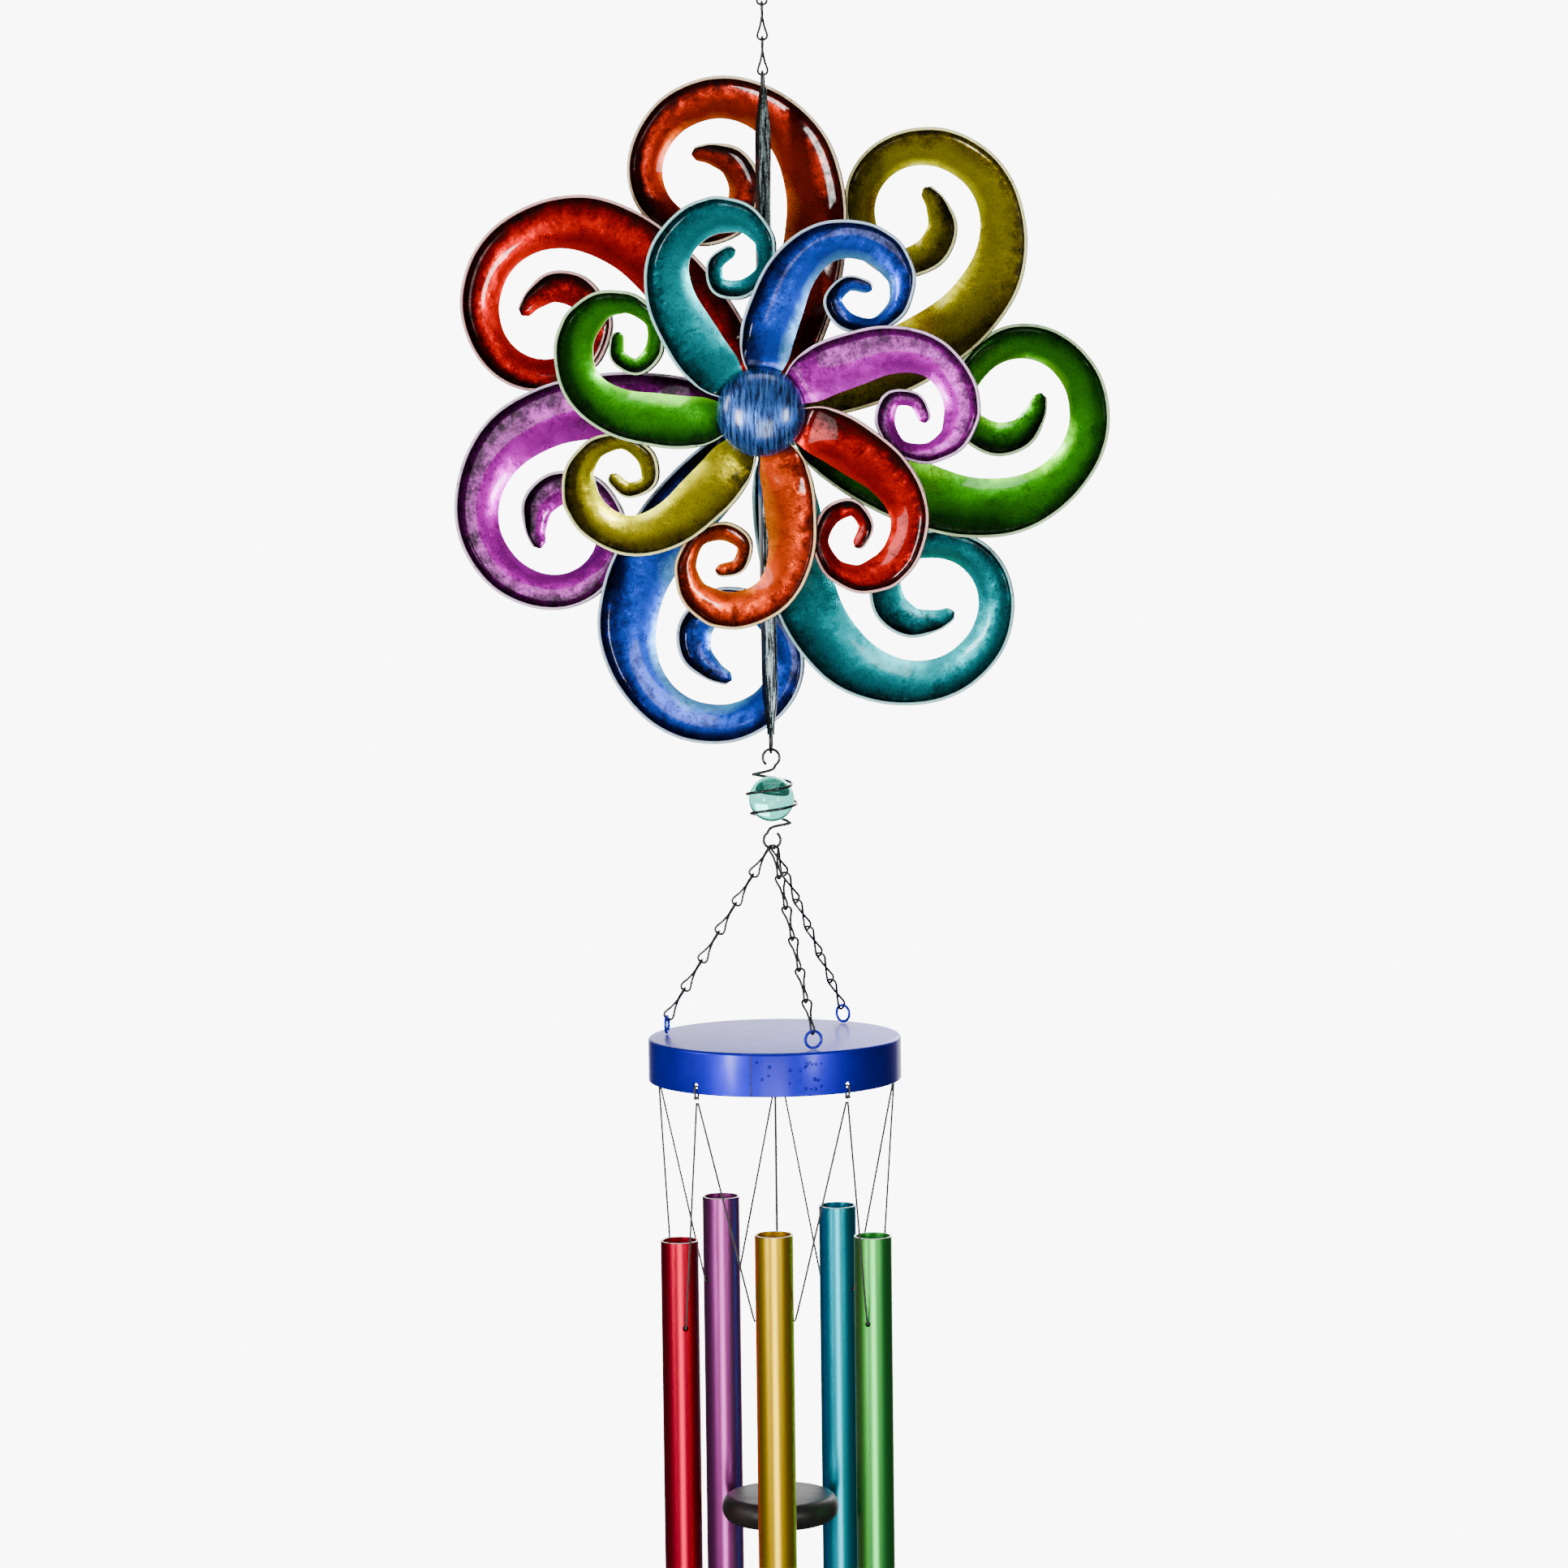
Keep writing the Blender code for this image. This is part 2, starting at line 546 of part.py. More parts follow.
def make_chimes(finishes, cord):
    """Each tube hangs in a V of cord between two knots at the rim and swings about the line through them."""
    half_chord = KNOT_CIRCLE * math.sin(math.pi / TUBES)
    for i, colour in enumerate(TUBE_NAMES):
        bm = bmesh.new()
        bmesh.ops.create_uvsphere(bm, u_segments=8, v_segments=6, radius=KNOT_RADIUS)
        spot = (KNOT_CIRCLE * math.cos(knot_angle(i)), KNOT_CIRCLE * math.sin(knot_angle(i)), KNOT_LEVEL)
        place(f"rim_knot_{i + 1}", finished(f"rim_knot_{i + 1}", bm), cord, spot)
        angle = tube_angle(i)
        top = DRUM_RIM - TUBE_DROPS[i]
        at = (TUBE_CIRCLE * math.cos(angle), TUBE_CIRCLE * math.sin(angle), top)
        turn = (0, 0, angle)
        length = TUBE_LENGTHS[i]
        inside = TUBE_RADIUS - TUBE_WALL
        profile = [(inside, 0), (inside, -length), (TUBE_RADIUS, -length), (TUBE_RADIUS, 0)]
        tube = place(f"tube_{colour}", turned(f"tube_{colour}", profile, 24), finishes[colour], at, turn)
        bm = bmesh.new()
        bmesh.ops.create_cone(
            bm, cap_ends=True, segments=8, radius1=TUBE_HOLE / 2, radius2=TUBE_HOLE / 2, depth=4 * TUBE_RADIUS,
            matrix=Matrix.Translation((0, 0, -TUBE_HOLE_DOWN)) @ Matrix.Rotation(math.pi / 2, 4, "X"),
        )
        cutter = place(f"tube_hole_{colour}", finished(f"tube_hole_{colour}", bm), cord, at, turn)
        join(tube, cutter, "DIFFERENCE")
        corner = Vector((0, TUBE_RADIUS + 1.1 * MM, 1.0 * MM - TUBE_HOLE_DOWN))
        knot = Vector((0, half_chord, KNOT_LEVEL - top))
        run = (corner - knot).normalized()
        clear_of_next = (STRING + GAP) / (2 * abs(run.y) * math.cos(math.pi / TUBES))
        start = knot + run * max(KNOT_RADIUS + STRING / 2 + GAP, clear_of_next)
        half = [
            start, start.lerp(corner, 0.25), start.lerp(corner, 0.5), start.lerp(corner, 0.75), corner,
            Vector((0, TUBE_RADIUS + 0.3 * MM, 0.3 * MM - TUBE_HOLE_DOWN)),
            Vector((0, TUBE_RADIUS - 1.0 * MM, -TUBE_HOLE_DOWN)), Vector((0, TUBE_RADIUS / 2, -TUBE_HOLE_DOWN)),
        ]
        other = [Vector((0, -point.y, point.z)) for point in reversed(half)]
        wire(f"tube_cord_{colour}", half + other, STRING, cord, roundness=1, at=at, turn=turn)


def make_striker(cord, black, steel):
    """A disc on a centre cord from an eye under the drum's top."""
    eye = DRUM_TOP - DRUM_WALL - GAP - STRIKER_EYE / 2
    across = STRIKER_EYE - CHAIN_WIRE
    wire("striker_eye", ring_points(across, across, 12, "XZ"), CHAIN_WIRE, steel, True, 1, (0, 0, eye))
    start = eye - STRIKER_EYE / 2 - GAP
    under = CLAPPER - CLAPPER_THICKNESS / 2 - 1.0 * MM
    points = [(0, 0, start + (under - start) * i / 12) for i in range(13)]
    wire("striker_cord", points, 1.2 * STRING, cord)
    half, nose = CLAPPER_THICKNESS / 2, 5.0 * MM
    profile = [(CLAPPER_BORE / 2, half), (CLAPPER_BORE / 2, -half)]
    for i in range(9):
        angle = math.radians(-90 + 180 * i / 8)
        profile.append((CLAPPER_RADIUS - nose + nose * math.cos(angle), half * math.sin(angle)))
    place("clapper", turned("clapper", profile, 24), black, (0, 0, CLAPPER))
    bm = bmesh.new()
    bmesh.ops.create_uvsphere(bm, u_segments=8, v_segments=6, radius=2 * MM)
    place("clapper_knot", finished("clapper_knot", bm), cord, (0, 0, under - GAP - 2 * MM))


def main():
    clear_scene()
    steel = material("steel", (0.55, 0.55, 0.56), 1.0, 0.3)
    black_wire = material("black_wire", (0.03, 0.03, 0.03), 0.6, 0.35)
    patina = material("patina", (0.12, 0.16, 0.16), 0.9, 0.4)
    brass = material("brass", (0.72, 0.52, 0.22), 1.0, 0.35)
    glass = material("glass", (0.62, 0.82, 0.82), 0.0, 0.05)
    blue = material("blue", (0.05, 0.22, 0.55), 0.9, 0.3)
    indigo = material("indigo", (0.02, 0.03, 0.42), 0.7, 0.3)
    cord = material("cord", (0.02, 0.02, 0.02), 0.0, 0.8)
    black = material("black", (0.02, 0.02, 0.02), 0.0, 0.35)
    finishes = {
        "green": material("green", (0.15, 0.5, 0.1), 0.9, 0.3),
        "gold": material("gold", (0.8, 0.45, 0.05), 0.9, 0.3),
        "brown": material("brown", (0.45, 0.18, 0.04), 0.9, 0.3),
        "orange": material("orange", (0.8, 0.25, 0.04), 0.9, 0.3),
        "red": material("red", (0.6, 0.03, 0.04), 0.9, 0.3),
        "magenta": material("magenta", (0.6, 0.05, 0.3), 0.9, 0.3),
        "purple": material("purple", (0.25, 0.06, 0.4), 0.9, 0.3),
        "blue": blue,
        "teal": material("teal", (0.04, 0.4, 0.42), 0.9, 0.3),
        "yellow": material("yellow", (0.8, 0.55, 0.12), 0.9, 0.3),
    }
    make_hook(black_wire)
    make_top_chain(black_wire)
    half_ring = (TOP_RING - RING_WIRE) / 2
    points = ring_points(2 * half_ring, 2 * half_ring, 14)
    wire("top_ring", points, RING_WIRE, black_wire, True, 1, (0, 0, TOP_HOLE + half_ring))
    make_frame(patina)
    make_axle(steel)
    make_rotor(
        "rear", REAR_PLANE, REAR_TURN, REAR_STATIONS, 1, REAR_LIP_HEIGHT, 28, REAR_NAMES, finishes, steel, brass
    )
    make_rotor(
        "front", FRONT_PLANE, FRONT_TURN, FRONT_STATIONS, -1, FRONT_LIP_HEIGHT, 24, FRONT_NAMES, finishes, steel,
        brass,
    )
    make_dome(blue)
    high = BOTTOM_RING_HEIGHT - RING_WIRE
    points = ring_points(BOTTOM_RING_DEPTH - RING_WIRE, high, 14)
    wire("bottom_ring", points, RING_WIRE, black_wire, True, 1, (0, 0, BOTTOM_HOLE - high / 2))
    make_cage(black_wire, glass)
    make_support_chains(black_wire, indigo)
    make_drum(indigo)
    make_chimes(finishes, cord)
    make_striker(cord, black, black_wire)


main()
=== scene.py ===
"""A hanging wind spinner: scrolled candy-painted petals on two rotors, a caged marble and a tube chime."""

import math

import bmesh
import bpy
import numpy as np
from mathutils import Matrix, Vector


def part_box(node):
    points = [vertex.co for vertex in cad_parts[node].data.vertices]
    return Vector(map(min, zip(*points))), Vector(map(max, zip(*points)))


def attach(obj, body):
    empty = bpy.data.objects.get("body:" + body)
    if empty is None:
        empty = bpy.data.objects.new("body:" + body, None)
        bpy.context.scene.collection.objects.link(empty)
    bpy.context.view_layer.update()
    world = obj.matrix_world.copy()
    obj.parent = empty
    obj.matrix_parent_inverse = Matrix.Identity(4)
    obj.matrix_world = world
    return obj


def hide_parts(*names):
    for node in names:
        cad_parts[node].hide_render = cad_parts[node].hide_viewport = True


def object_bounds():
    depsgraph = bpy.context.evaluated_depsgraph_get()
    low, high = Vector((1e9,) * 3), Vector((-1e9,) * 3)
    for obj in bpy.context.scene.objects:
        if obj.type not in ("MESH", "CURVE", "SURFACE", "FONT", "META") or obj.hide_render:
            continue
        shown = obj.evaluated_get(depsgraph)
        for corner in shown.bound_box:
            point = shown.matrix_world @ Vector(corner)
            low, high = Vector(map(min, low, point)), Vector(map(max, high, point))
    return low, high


MM = 0.001

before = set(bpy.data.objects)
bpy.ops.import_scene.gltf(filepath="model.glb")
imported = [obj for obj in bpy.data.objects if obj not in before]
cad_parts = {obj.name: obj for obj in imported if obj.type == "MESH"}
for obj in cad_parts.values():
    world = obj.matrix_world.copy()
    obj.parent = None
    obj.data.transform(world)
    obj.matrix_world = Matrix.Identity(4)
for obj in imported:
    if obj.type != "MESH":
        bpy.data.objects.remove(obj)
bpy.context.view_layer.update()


# ---------------------------------------------------------------- meshes

def add_object(name, data):
    """A new object at the origin, in the scene."""
    made = bpy.data.objects.new(name, data)
    bpy.context.scene.collection.objects.link(made)
    return made


def mesh_piece(name, verts, faces, uvs, sharp=40):
    """A smooth-shaded object. uvs is one (u, v) for each vertex, and edges over sharp degrees stay crisp."""
    mesh = bpy.data.meshes.new(name)
    mesh.from_pydata([tuple(v) for v in verts], [], [tuple(f) for f in faces])
    mesh.update()
    layer = mesh.uv_layers.new(name="UVMap")
    corner = np.empty(len(mesh.loops), np.int32)
    mesh.loops.foreach_get("vertex_index", corner)
    layer.data.foreach_set("uv", np.asarray(uvs, np.float32)[corner].ravel())
    mesh.shade_smooth()
    mesh.set_sharp_from_angle(angle=math.radians(sharp))
    return add_object(name, mesh)


def face_outwards(piece, merge=1e-6):
    """Merges doubled points and turns every face outwards."""
    bm = bmesh.new()
    bm.from_mesh(piece.data)
    bmesh.ops.remove_doubles(bm, verts=bm.verts, dist=merge)
    bmesh.ops.recalc_face_normals(bm, faces=bm.faces)
    bm.to_mesh(piece.data)
    bm.free()
    return piece


def skin(rows, count, closed=False):
    """Faces through rows of points, each a closed outline. The ends are capped unless the rows close too."""
    faces = []
    for i in range(rows if closed else rows - 1):
        n = (i + 1) % rows
        for j in range(count):
            k = (j + 1) % count
            faces.append((i * count + j, i * count + k, n * count + k, n * count + j))
    if not closed:
        faces.append(tuple(range(count))[::-1])
        faces.append(tuple((rows - 1) * count + j for j in range(count)))
    return faces


def loft(name, sections, uvs, sharp=40):
    """A solid through sections with equal counts of points, each section a closed outline."""
    verts = [p for section in sections for p in section]
    return mesh_piece(name, verts, skin(len(sections), len(sections[0])), uvs, sharp)


def lathe(name, profile, sides, level=(0, 0, 0), turn=None, closed=True, marks=None):
    """An outline of (radius, height) spun about Z, then turned and moved into place. In its UV map u is the
    angle, and v the length along the outline, or the mark given for each of its points."""
    turn = turn or Matrix.Identity(3)
    sections, uvs = [], []
    run = [0.0]
    for a, b in zip(profile, profile[1:]):
        run.append(run[-1] + math.dist(a, b))
    for i in range(sides):
        angle = 2 * math.pi * i / sides
        across, up = math.cos(angle), math.sin(angle)
        sections.append([turn @ Vector((r * across, r * up, z)) + Vector(level) for r, z in profile])
        uvs += [(angle, v) for v in marks or run]
    count = len(profile)
    verts = [p for section in sections for p in section]
    faces = []
    for i in range(sides):
        j = (i + 1) % sides
        for k in range(count if closed else count - 1):
            n = (k + 1) % count
            faces.append((i * count + k, j * count + k, j * count + n, i * count + n))
    return face_outwards(mesh_piece(name, verts, faces, uvs))


def sweep(name, points, diameter, sides, closed=False):
    """Round wire or cord along the points, with u round it and v the length along it in metres."""
    path = [Vector(p) for p in points]
    count = len(path)
    tangents = []
    for i in range(count):
        before = path[i - 1] if closed or i else path[0]
        after = path[(i + 1) % count] if closed or i < count - 1 else path[-1]
        tangents.append((after - before).normalized())
    side = tangents[0].orthogonal().normalized()
    frames = []
    for i, tangent in enumerate(tangents):
        if i:
            side = tangents[i - 1].rotation_difference(tangent) @ side
        side = (side - tangent * side.dot(tangent)).normalized()
        frames.append((side.copy(), tangent.cross(side)))
    twist = 0.0
    if closed:
        last = tangents[-1].rotation_difference(tangents[0]) @ frames[-1][0]
        twist = math.atan2(last.dot(frames[0][1]), last.dot(frames[0][0]))
    verts, uvs, run = [], [], 0.0
    for i in range(count):
        if i:
            run += (path[i] - path[i - 1]).length
        across, up = frames[i]
        for j in range(sides):
            angle = 2 * math.pi * j / sides - twist * i / count
            verts.append(path[i] + (across * math.cos(angle) + up * math.sin(angle)) * diameter / 2)
            uvs.append((j / sides, run))
    return mesh_piece(name, verts, skin(count, sides, closed), uvs, sharp=50)


def smooth_path(stations, count):
    """Evenly spaced samples of a Catmull-Rom curve through the stations, of any number of values each."""
    rows = [np.array(s, float) for s in stations]
    rows = [2 * rows[0] - rows[1]] + rows + [2 * rows[-1] - rows[-2]]
    fine = []
    for a, b, c, d in zip(rows, rows[1:], rows[2:], rows[3:]):
        for step in range(24):
            t = step / 24
            second, third = 2 * a - 5 * b + 4 * c - d, 3 * b - a - 3 * c + d
            fine.append(0.5 * (2 * b + (c - a) * t + second * t**2 + third * t**3))
    fine = np.array(fine + [rows[-2]])
    run = np.concatenate([[0], np.cumsum(np.linalg.norm(np.diff(fine, axis=0), axis=1))])
    goals = np.linspace(0, run[-1], count)
    return np.stack([np.interp(goals, run, fine[:, k]) for k in range(fine.shape[1])], 1)


def ball_profile(radius, height, count):
    """Half an ellipse from pole to pole, for lathe."""
    profile = [(radius * math.sin(a), height * math.cos(a)) for a in np.linspace(0, math.pi, count)]
    profile[0], profile[-1] = (0.0, height), (0.0, -height)
    return profile


def lift(z):
    return Vector((0, 0, z))


def outwards(spot):
    """The level directions at a spot: away from the hanging line, and a quarter turn on from that."""
    out = Vector((spot.x, spot.y, 0)).normalized()
    return out, Vector((-out.y, out.x, 0))


def join_pieces(name, pieces):
    """One object from several, their meshes put together."""
    bm = bmesh.new()
    for piece in pieces:
        bm.from_mesh(piece.data)
    mesh = bpy.data.meshes.new(name)
    bm.to_mesh(mesh)
    bm.free()
    mesh.materials.append(pieces[0].data.materials[0] if pieces[0].data.materials else None)
    made = add_object(name, mesh)
    for piece in pieces:
        bpy.data.objects.remove(piece)
    return made


def cut(piece, cutters):
    """Cuts the helpers out of a piece and removes them."""
    for cutter in cutters:
        change = piece.modifiers.new("hole", "BOOLEAN")
        change.operation = "DIFFERENCE"
        change.object = cutter
    bpy.context.view_layer.update()
    done = bpy.data.meshes.new_from_object(piece.evaluated_get(bpy.context.evaluated_depsgraph_get()))
    piece.modifiers.clear()
    piece.data = done
    for cutter in cutters:
        bpy.data.objects.remove(cutter)
    piece.data.set_sharp_from_angle(angle=math.radians(35))


# ---------------------------------------------------------------- finishes

class Finish:
    """A material under construction: short calls for the nodes that these finishes share."""

    def __init__(self, name):
        self.material = bpy.data.materials.new(name)
        self.material.use_nodes = True
        self.tree = self.material.node_tree
        self.surface = self.tree.nodes["Principled BSDF"]

    def node(self, kind, **settings):
        made = self.tree.nodes.new(kind)
        for key, value in settings.items():
            setattr(made, key, value)
        return made

    def link(self, out, into):
        self.tree.links.new(out, into)

    def set(self, **values):
        for key, value in values.items():
            self.surface.inputs[key.replace("_", " ")].default_value = value

    def place(self, where="Object", scale=(1, 1, 1)):
        coords = self.node("ShaderNodeTexCoord")
        mapping = self.node("ShaderNodeMapping")
        mapping.inputs["Scale"].default_value = scale
        self.link(coords.outputs[where], mapping.inputs["Vector"])
        return mapping.outputs["Vector"]

    def uv(self):
        """The two parts of the piece's own UV map."""
        parts = self.node("ShaderNodeSeparateXYZ")
        self.link(self.node("ShaderNodeTexCoord").outputs["UV"], parts.inputs["Vector"])
        return parts.outputs["X"], parts.outputs["Y"]

    def noise(self, vector, scale, detail=4.0, rough=0.6, distortion=0.0):
        made = self.node("ShaderNodeTexNoise")
        made.inputs["Scale"].default_value = scale
        made.inputs["Detail"].default_value = detail
        made.inputs["Roughness"].default_value = rough
        made.inputs["Distortion"].default_value = distortion
        self.link(vector, made.inputs["Vector"])
        return made.outputs["Fac"]

    def ramp(self, value, *stops):
        made = self.node("ShaderNodeValToRGB")
        bar = made.color_ramp
        while len(bar.elements) < len(stops):
            bar.elements.new(0.5)
        for element, (place, colour) in zip(bar.elements, stops):
            element.position = place
            element.color = (*colour, 1) if hasattr(colour, "__len__") else (colour, colour, colour, 1)
        self.link(value, made.inputs["Fac"])
        return made.outputs["Color"]

    def math(self, operation, a, b):
        made = self.node("ShaderNodeMath", operation=operation)
        for socket, value in zip(made.inputs, (a, b)):
            if isinstance(value, (int, float)):
                socket.default_value = value
            else:
                self.link(value, socket)
        return made.outputs["Value"]

    def mix(self, share, a, b):
        made = self.node("ShaderNodeMix", data_type="RGBA")
        for socket, value in zip((made.inputs[0], made.inputs[6], made.inputs[7]), (share, a, b)):
            if isinstance(value, (int, float)):
                socket.default_value = value
            elif isinstance(value, tuple):
                socket.default_value = (*value, 1)
            else:
                self.link(value, socket)
        return made.outputs[2]

    def bump(self, height, strength, distance):
        made = self.node("ShaderNodeBump")
        made.inputs["Strength"].default_value = strength
        made.inputs["Distance"].default_value = distance
        self.link(height, made.inputs["Height"])
        if self.surface.inputs["Normal"].links:
            self.link(self.surface.inputs["Normal"].links[0].from_socket, made.inputs["Normal"])
        self.link(made.outputs["Normal"], self.surface.inputs["Normal"])

    def colour(self, out):
        self.link(out, self.surface.inputs["Base Color"])

    def rough(self, out):
        self.link(out, self.surface.inputs["Roughness"])


# Across a petal, v: where its face ends, the two corners of its lip's top, and the lip's outer foot.
FACE_V = 0.94
LIP_V = (1.2, 1.4)
FOOT_V = 1.5
BLACK = (0.004, 0.004, 0.004)


def candy_paint(name, glow, body, deep, edge):
    """Translucent lacquer over bright metal: clean at the petal's inner edge, rubbed black towards its rim.
    Near the hub the black grows as painted shade, and the pale line on the lip's top is a painted highlight.
    u runs from the hub (0) to the tip (1), and v from the petal's inner edge (0) over the lip (LIP_V)."""
    f = Finish(name)
    u, v = f.uv()
    place = f.place()
    cloud = f.noise(place, 30, 3, 0.55)
    mottle = f.noise(place, 120, 8, 0.75, 0.4)
    grit = f.noise(place, 620, 5, 0.75)
    dabs = f.noise(f.place("UV", (60, 3.0, 1)), 1.0, 7, 0.75, 0.4)
    across = f.math("ADD", v, f.math("MULTIPLY", f.math("SUBTRACT", cloud, 0.5), 0.9))
    paint = f.ramp(across, (0.0, glow), (0.22, body), (0.5, body), (0.88, deep))
    blot = f.math("ADD", f.math("MULTIPLY", mottle, 0.55), f.math("MULTIPLY", dabs, 0.45))
    blot = f.math("ADD", blot, f.math("MULTIPLY", f.math("SUBTRACT", grit, 0.5), 0.45))
    outward = f.ramp(f.math("MULTIPLY", v, 0.8), (0.1, 0.0), (0.4, 0.1), (0.72, 0.18), (0.79, 0.28))
    # Painted shade: the black grows towards the hub, where the petals lie in shadow; towards the tip it marks
    # stains.
    hub_shade_tip_stain = f.ramp(u, (0.0, 0.16), (0.14, 0.02), (0.76, 0.02), (0.94, 0.12))
    stain_and_shade = f.math("ADD", blot, f.math("ADD", outward, hub_shade_tip_stain))
    black = f.ramp(stain_and_shade, (0.6, 0.0), (0.72, 0.6), (0.86, 0.97))
    paint = f.mix(black, paint, BLACK)
    # Painted highlight: the lip's top takes the pale edge colour, broken into patches by the mottle.
    rim = f.ramp(f.math("SUBTRACT", v, LIP_V[0] - 0.03), (0.0, 0.0), (0.02, 1.0), (0.17, 1.0), (0.2, 0.0))
    lip_highlight_patches = f.ramp(mottle, (0.56, 1.0), (0.7, 0.2))
    paint = f.mix(f.math("MULTIPLY", rim, lip_highlight_patches), paint, edge)
    f.colour(paint)
    f.rough(f.ramp(f.math("ADD", mottle, f.math("MULTIPLY", black, 0.3)), (0.3, 0.2), (0.95, 0.5)))
    brushed = f.noise(f.place("UV", (150, 6, 1)), 1.0, 5, 0.7)
    f.bump(brushed, 0.22, 0.0004)
    f.bump(f.noise(place, 75, 2, 0.5), 0.5, 0.0014)
    clean = f.math("SUBTRACT", 1.0, black)
    f.link(f.math("MULTIPLY", clean, 0.55), f.surface.inputs["Coat Weight"])
    f.link(f.math("MULTIPLY", clean, 0.78), f.surface.inputs["Metallic"])
    f.set(Specular_IOR_Level=0.0, Coat_Roughness=0.06, Coat_IOR=1.5)
    return f.material


def patina_and_highlight_metal():
    """Blackened bar whose front face, u = 1, takes a painted highlight, silvery and blue-green in long
    straight strokes.
    """
    f = Finish("frame_patina")
    streak = f.noise(f.place("Object", (1500, 500, 14)), 1.0, 4, 0.65)
    cloud = f.noise(f.place("Object", (300, 200, 40)), 1.0, 4, 0.6)
    grit = f.noise(f.place(), 900, 4, 0.7)
    # Painted highlight: these silvery and blue-green tones stand in for light on the bar's front face.
    highlight_silver = f.mix(cloud, (0.75, 0.8, 0.8), (0.06, 0.3, 0.32))
    rubbed = f.math("ADD", f.math("MULTIPLY", streak, 0.75), f.math("MULTIPLY", grit, 0.25))
    # The painted highlight goes on the front face only, broken into streaks.
    face = f.ramp(f.uv()[0], (0.82, 0.0), (0.97, 1.0))
    share = f.math("MULTIPLY", f.ramp(rubbed, (0.48, 0.0), (0.57, 1.0)), face)
    f.colour(f.mix(share, (0.006, 0.007, 0.008), highlight_silver))
    f.rough(f.ramp(streak, (0.3, 0.2), (0.8, 0.42)))
    f.bump(streak, 0.4, 0.0003)
    f.set(Metallic=0.75, Coat_Weight=0.3, Coat_Roughness=0.12)
    return f.material


def dark_wire(name, colour=(0.006, 0.006, 0.006), shine=0.3):
    """Blackened wire, rubbed a little brighter where it is touched."""
    f = Finish(name)
    place = f.place()
    rub = f.noise(place, 420, 4, 0.6)
    brighter = tuple(min(1.0, c * 4 + 0.02) for c in colour)
    f.colour(f.mix(f.ramp(rub, (0.55, 0.0), (0.8, 0.6)), colour, brighter))
    f.rough(f.ramp(rub, (0.3, shine), (0.8, shine + 0.22)))
    f.bump(f.noise(place, 1500, 2, 0.5), 0.25, 0.0001)
    f.set(Metallic=0.2, Coat_Weight=0.2, Coat_Roughness=0.2)
    return f.material


def turned_metal(name, colour):
    """Plain machined hardware with fine rings."""
    f = Finish(name)
    rings = f.noise(f.place("Object", (400, 3000, 400)), 1.0, 3, 0.6)
    f.colour(f.mix(rings, colour, tuple(c * 0.6 for c in colour)))
    f.rough(f.ramp(rings, (0.2, 0.25), (0.8, 0.45)))
    f.bump(rings, 0.2, 0.0001)
    f.set(Metallic=1.0)
    return f.material


def brushed_dome():
    """Blue lacquer brushed with upright dark strokes over light metal."""
    f = Finish("brushed_blue")
    strokes = f.noise(f.place("Object", (1000, 60, 80)), 1.0, 7, 0.78, 0.12)
    broad = f.noise(f.place("Object", (170, 60, 60)), 1.0, 3, 0.6)
    paint = f.mix(broad, (0.02, 0.07, 0.4), (0.07, 0.3, 0.95))
    paint = f.mix(f.ramp(strokes, (0.46, 0.0), (0.54, 0.97)), paint, (0.002, 0.006, 0.04))
    paint = f.mix(f.ramp(strokes, (0.3, 0.9), (0.42, 0.0)), paint, (0.4, 0.7, 1.0))
    f.colour(paint)
    f.rough(f.ramp(strokes, (0.3, 0.2), (0.8, 0.42)))
    f.bump(strokes, 0.45, 0.0004)
    f.set(Metallic=0.7, Specular_IOR_Level=0.2, Coat_Weight=0.8, Coat_Roughness=0.18, Coat_IOR=1.6)
    return f.material


def drum_paint():
    """Deep blue pearl paint on the drum and its eyes: a satin pearl coat with a fine orange-peel skin."""
    f = Finish("drum_blue")
    place = f.place()
    flow = f.noise(place, 24, 3, 0.5)
    fine = f.noise(place, 900, 3, 0.6)
    blue = f.mix(f.ramp(flow, (0.35, 0.0), (0.7, 1.0)), (0.008, 0.002, 0.42), (0.014, 0.006, 0.62))
    scuffs = f.ramp(f.noise(place, 260, 6, 0.8, 0.3), (0.7, 0.0), (0.78, 0.5))
    f.colour(f.mix(scuffs, blue, (0.01, 0.012, 0.12)))
    peel = f.math("ADD", f.noise(place, 160, 3, 0.5), f.math("MULTIPLY", fine, 0.2))
    f.rough(f.ramp(peel, (0.3, 0.4), (0.9, 0.48)))
    f.bump(f.noise(place, 520, 3, 0.5), 0.12, 0.0003)
    f.set(Metallic=0.85, Specular_IOR_Level=0.1, Coat_Weight=0.3, Coat_Roughness=0.2)
    return f.material


def anodised(name, colour):
    """Dyed aluminium tube, its drawing lines along it. The sawn ends, where v is 1, are bare."""
    f = Finish(name)
    lines = f.noise(f.place("Object", (1400, 1400, 3)), 1.0, 2, 0.5)
    cloud = f.noise(f.place("Object", (30, 30, 9)), 1.0, 3, 0.5)
    specks = f.ramp(f.noise(f.place(), 1100, 4, 0.7), (0.76, 0.0), (0.8, 0.5))
    darker = tuple(c * 0.94 for c in colour)
    dyed = f.mix(f.math("MULTIPLY", f.math("ADD", lines, cloud), 0.5), colour, darker)
    dyed = f.mix(specks, dyed, (0.8, 0.8, 0.78))
    f.colour(f.mix(f.ramp(f.uv()[1], (0.4, 0.0), (0.6, 1.0)), dyed, (0.9, 0.9, 0.88)))
    f.rough(f.ramp(cloud, (0.3, 0.3), (0.75, 0.33)))
    f.set(Metallic=1.0)
    return f.material


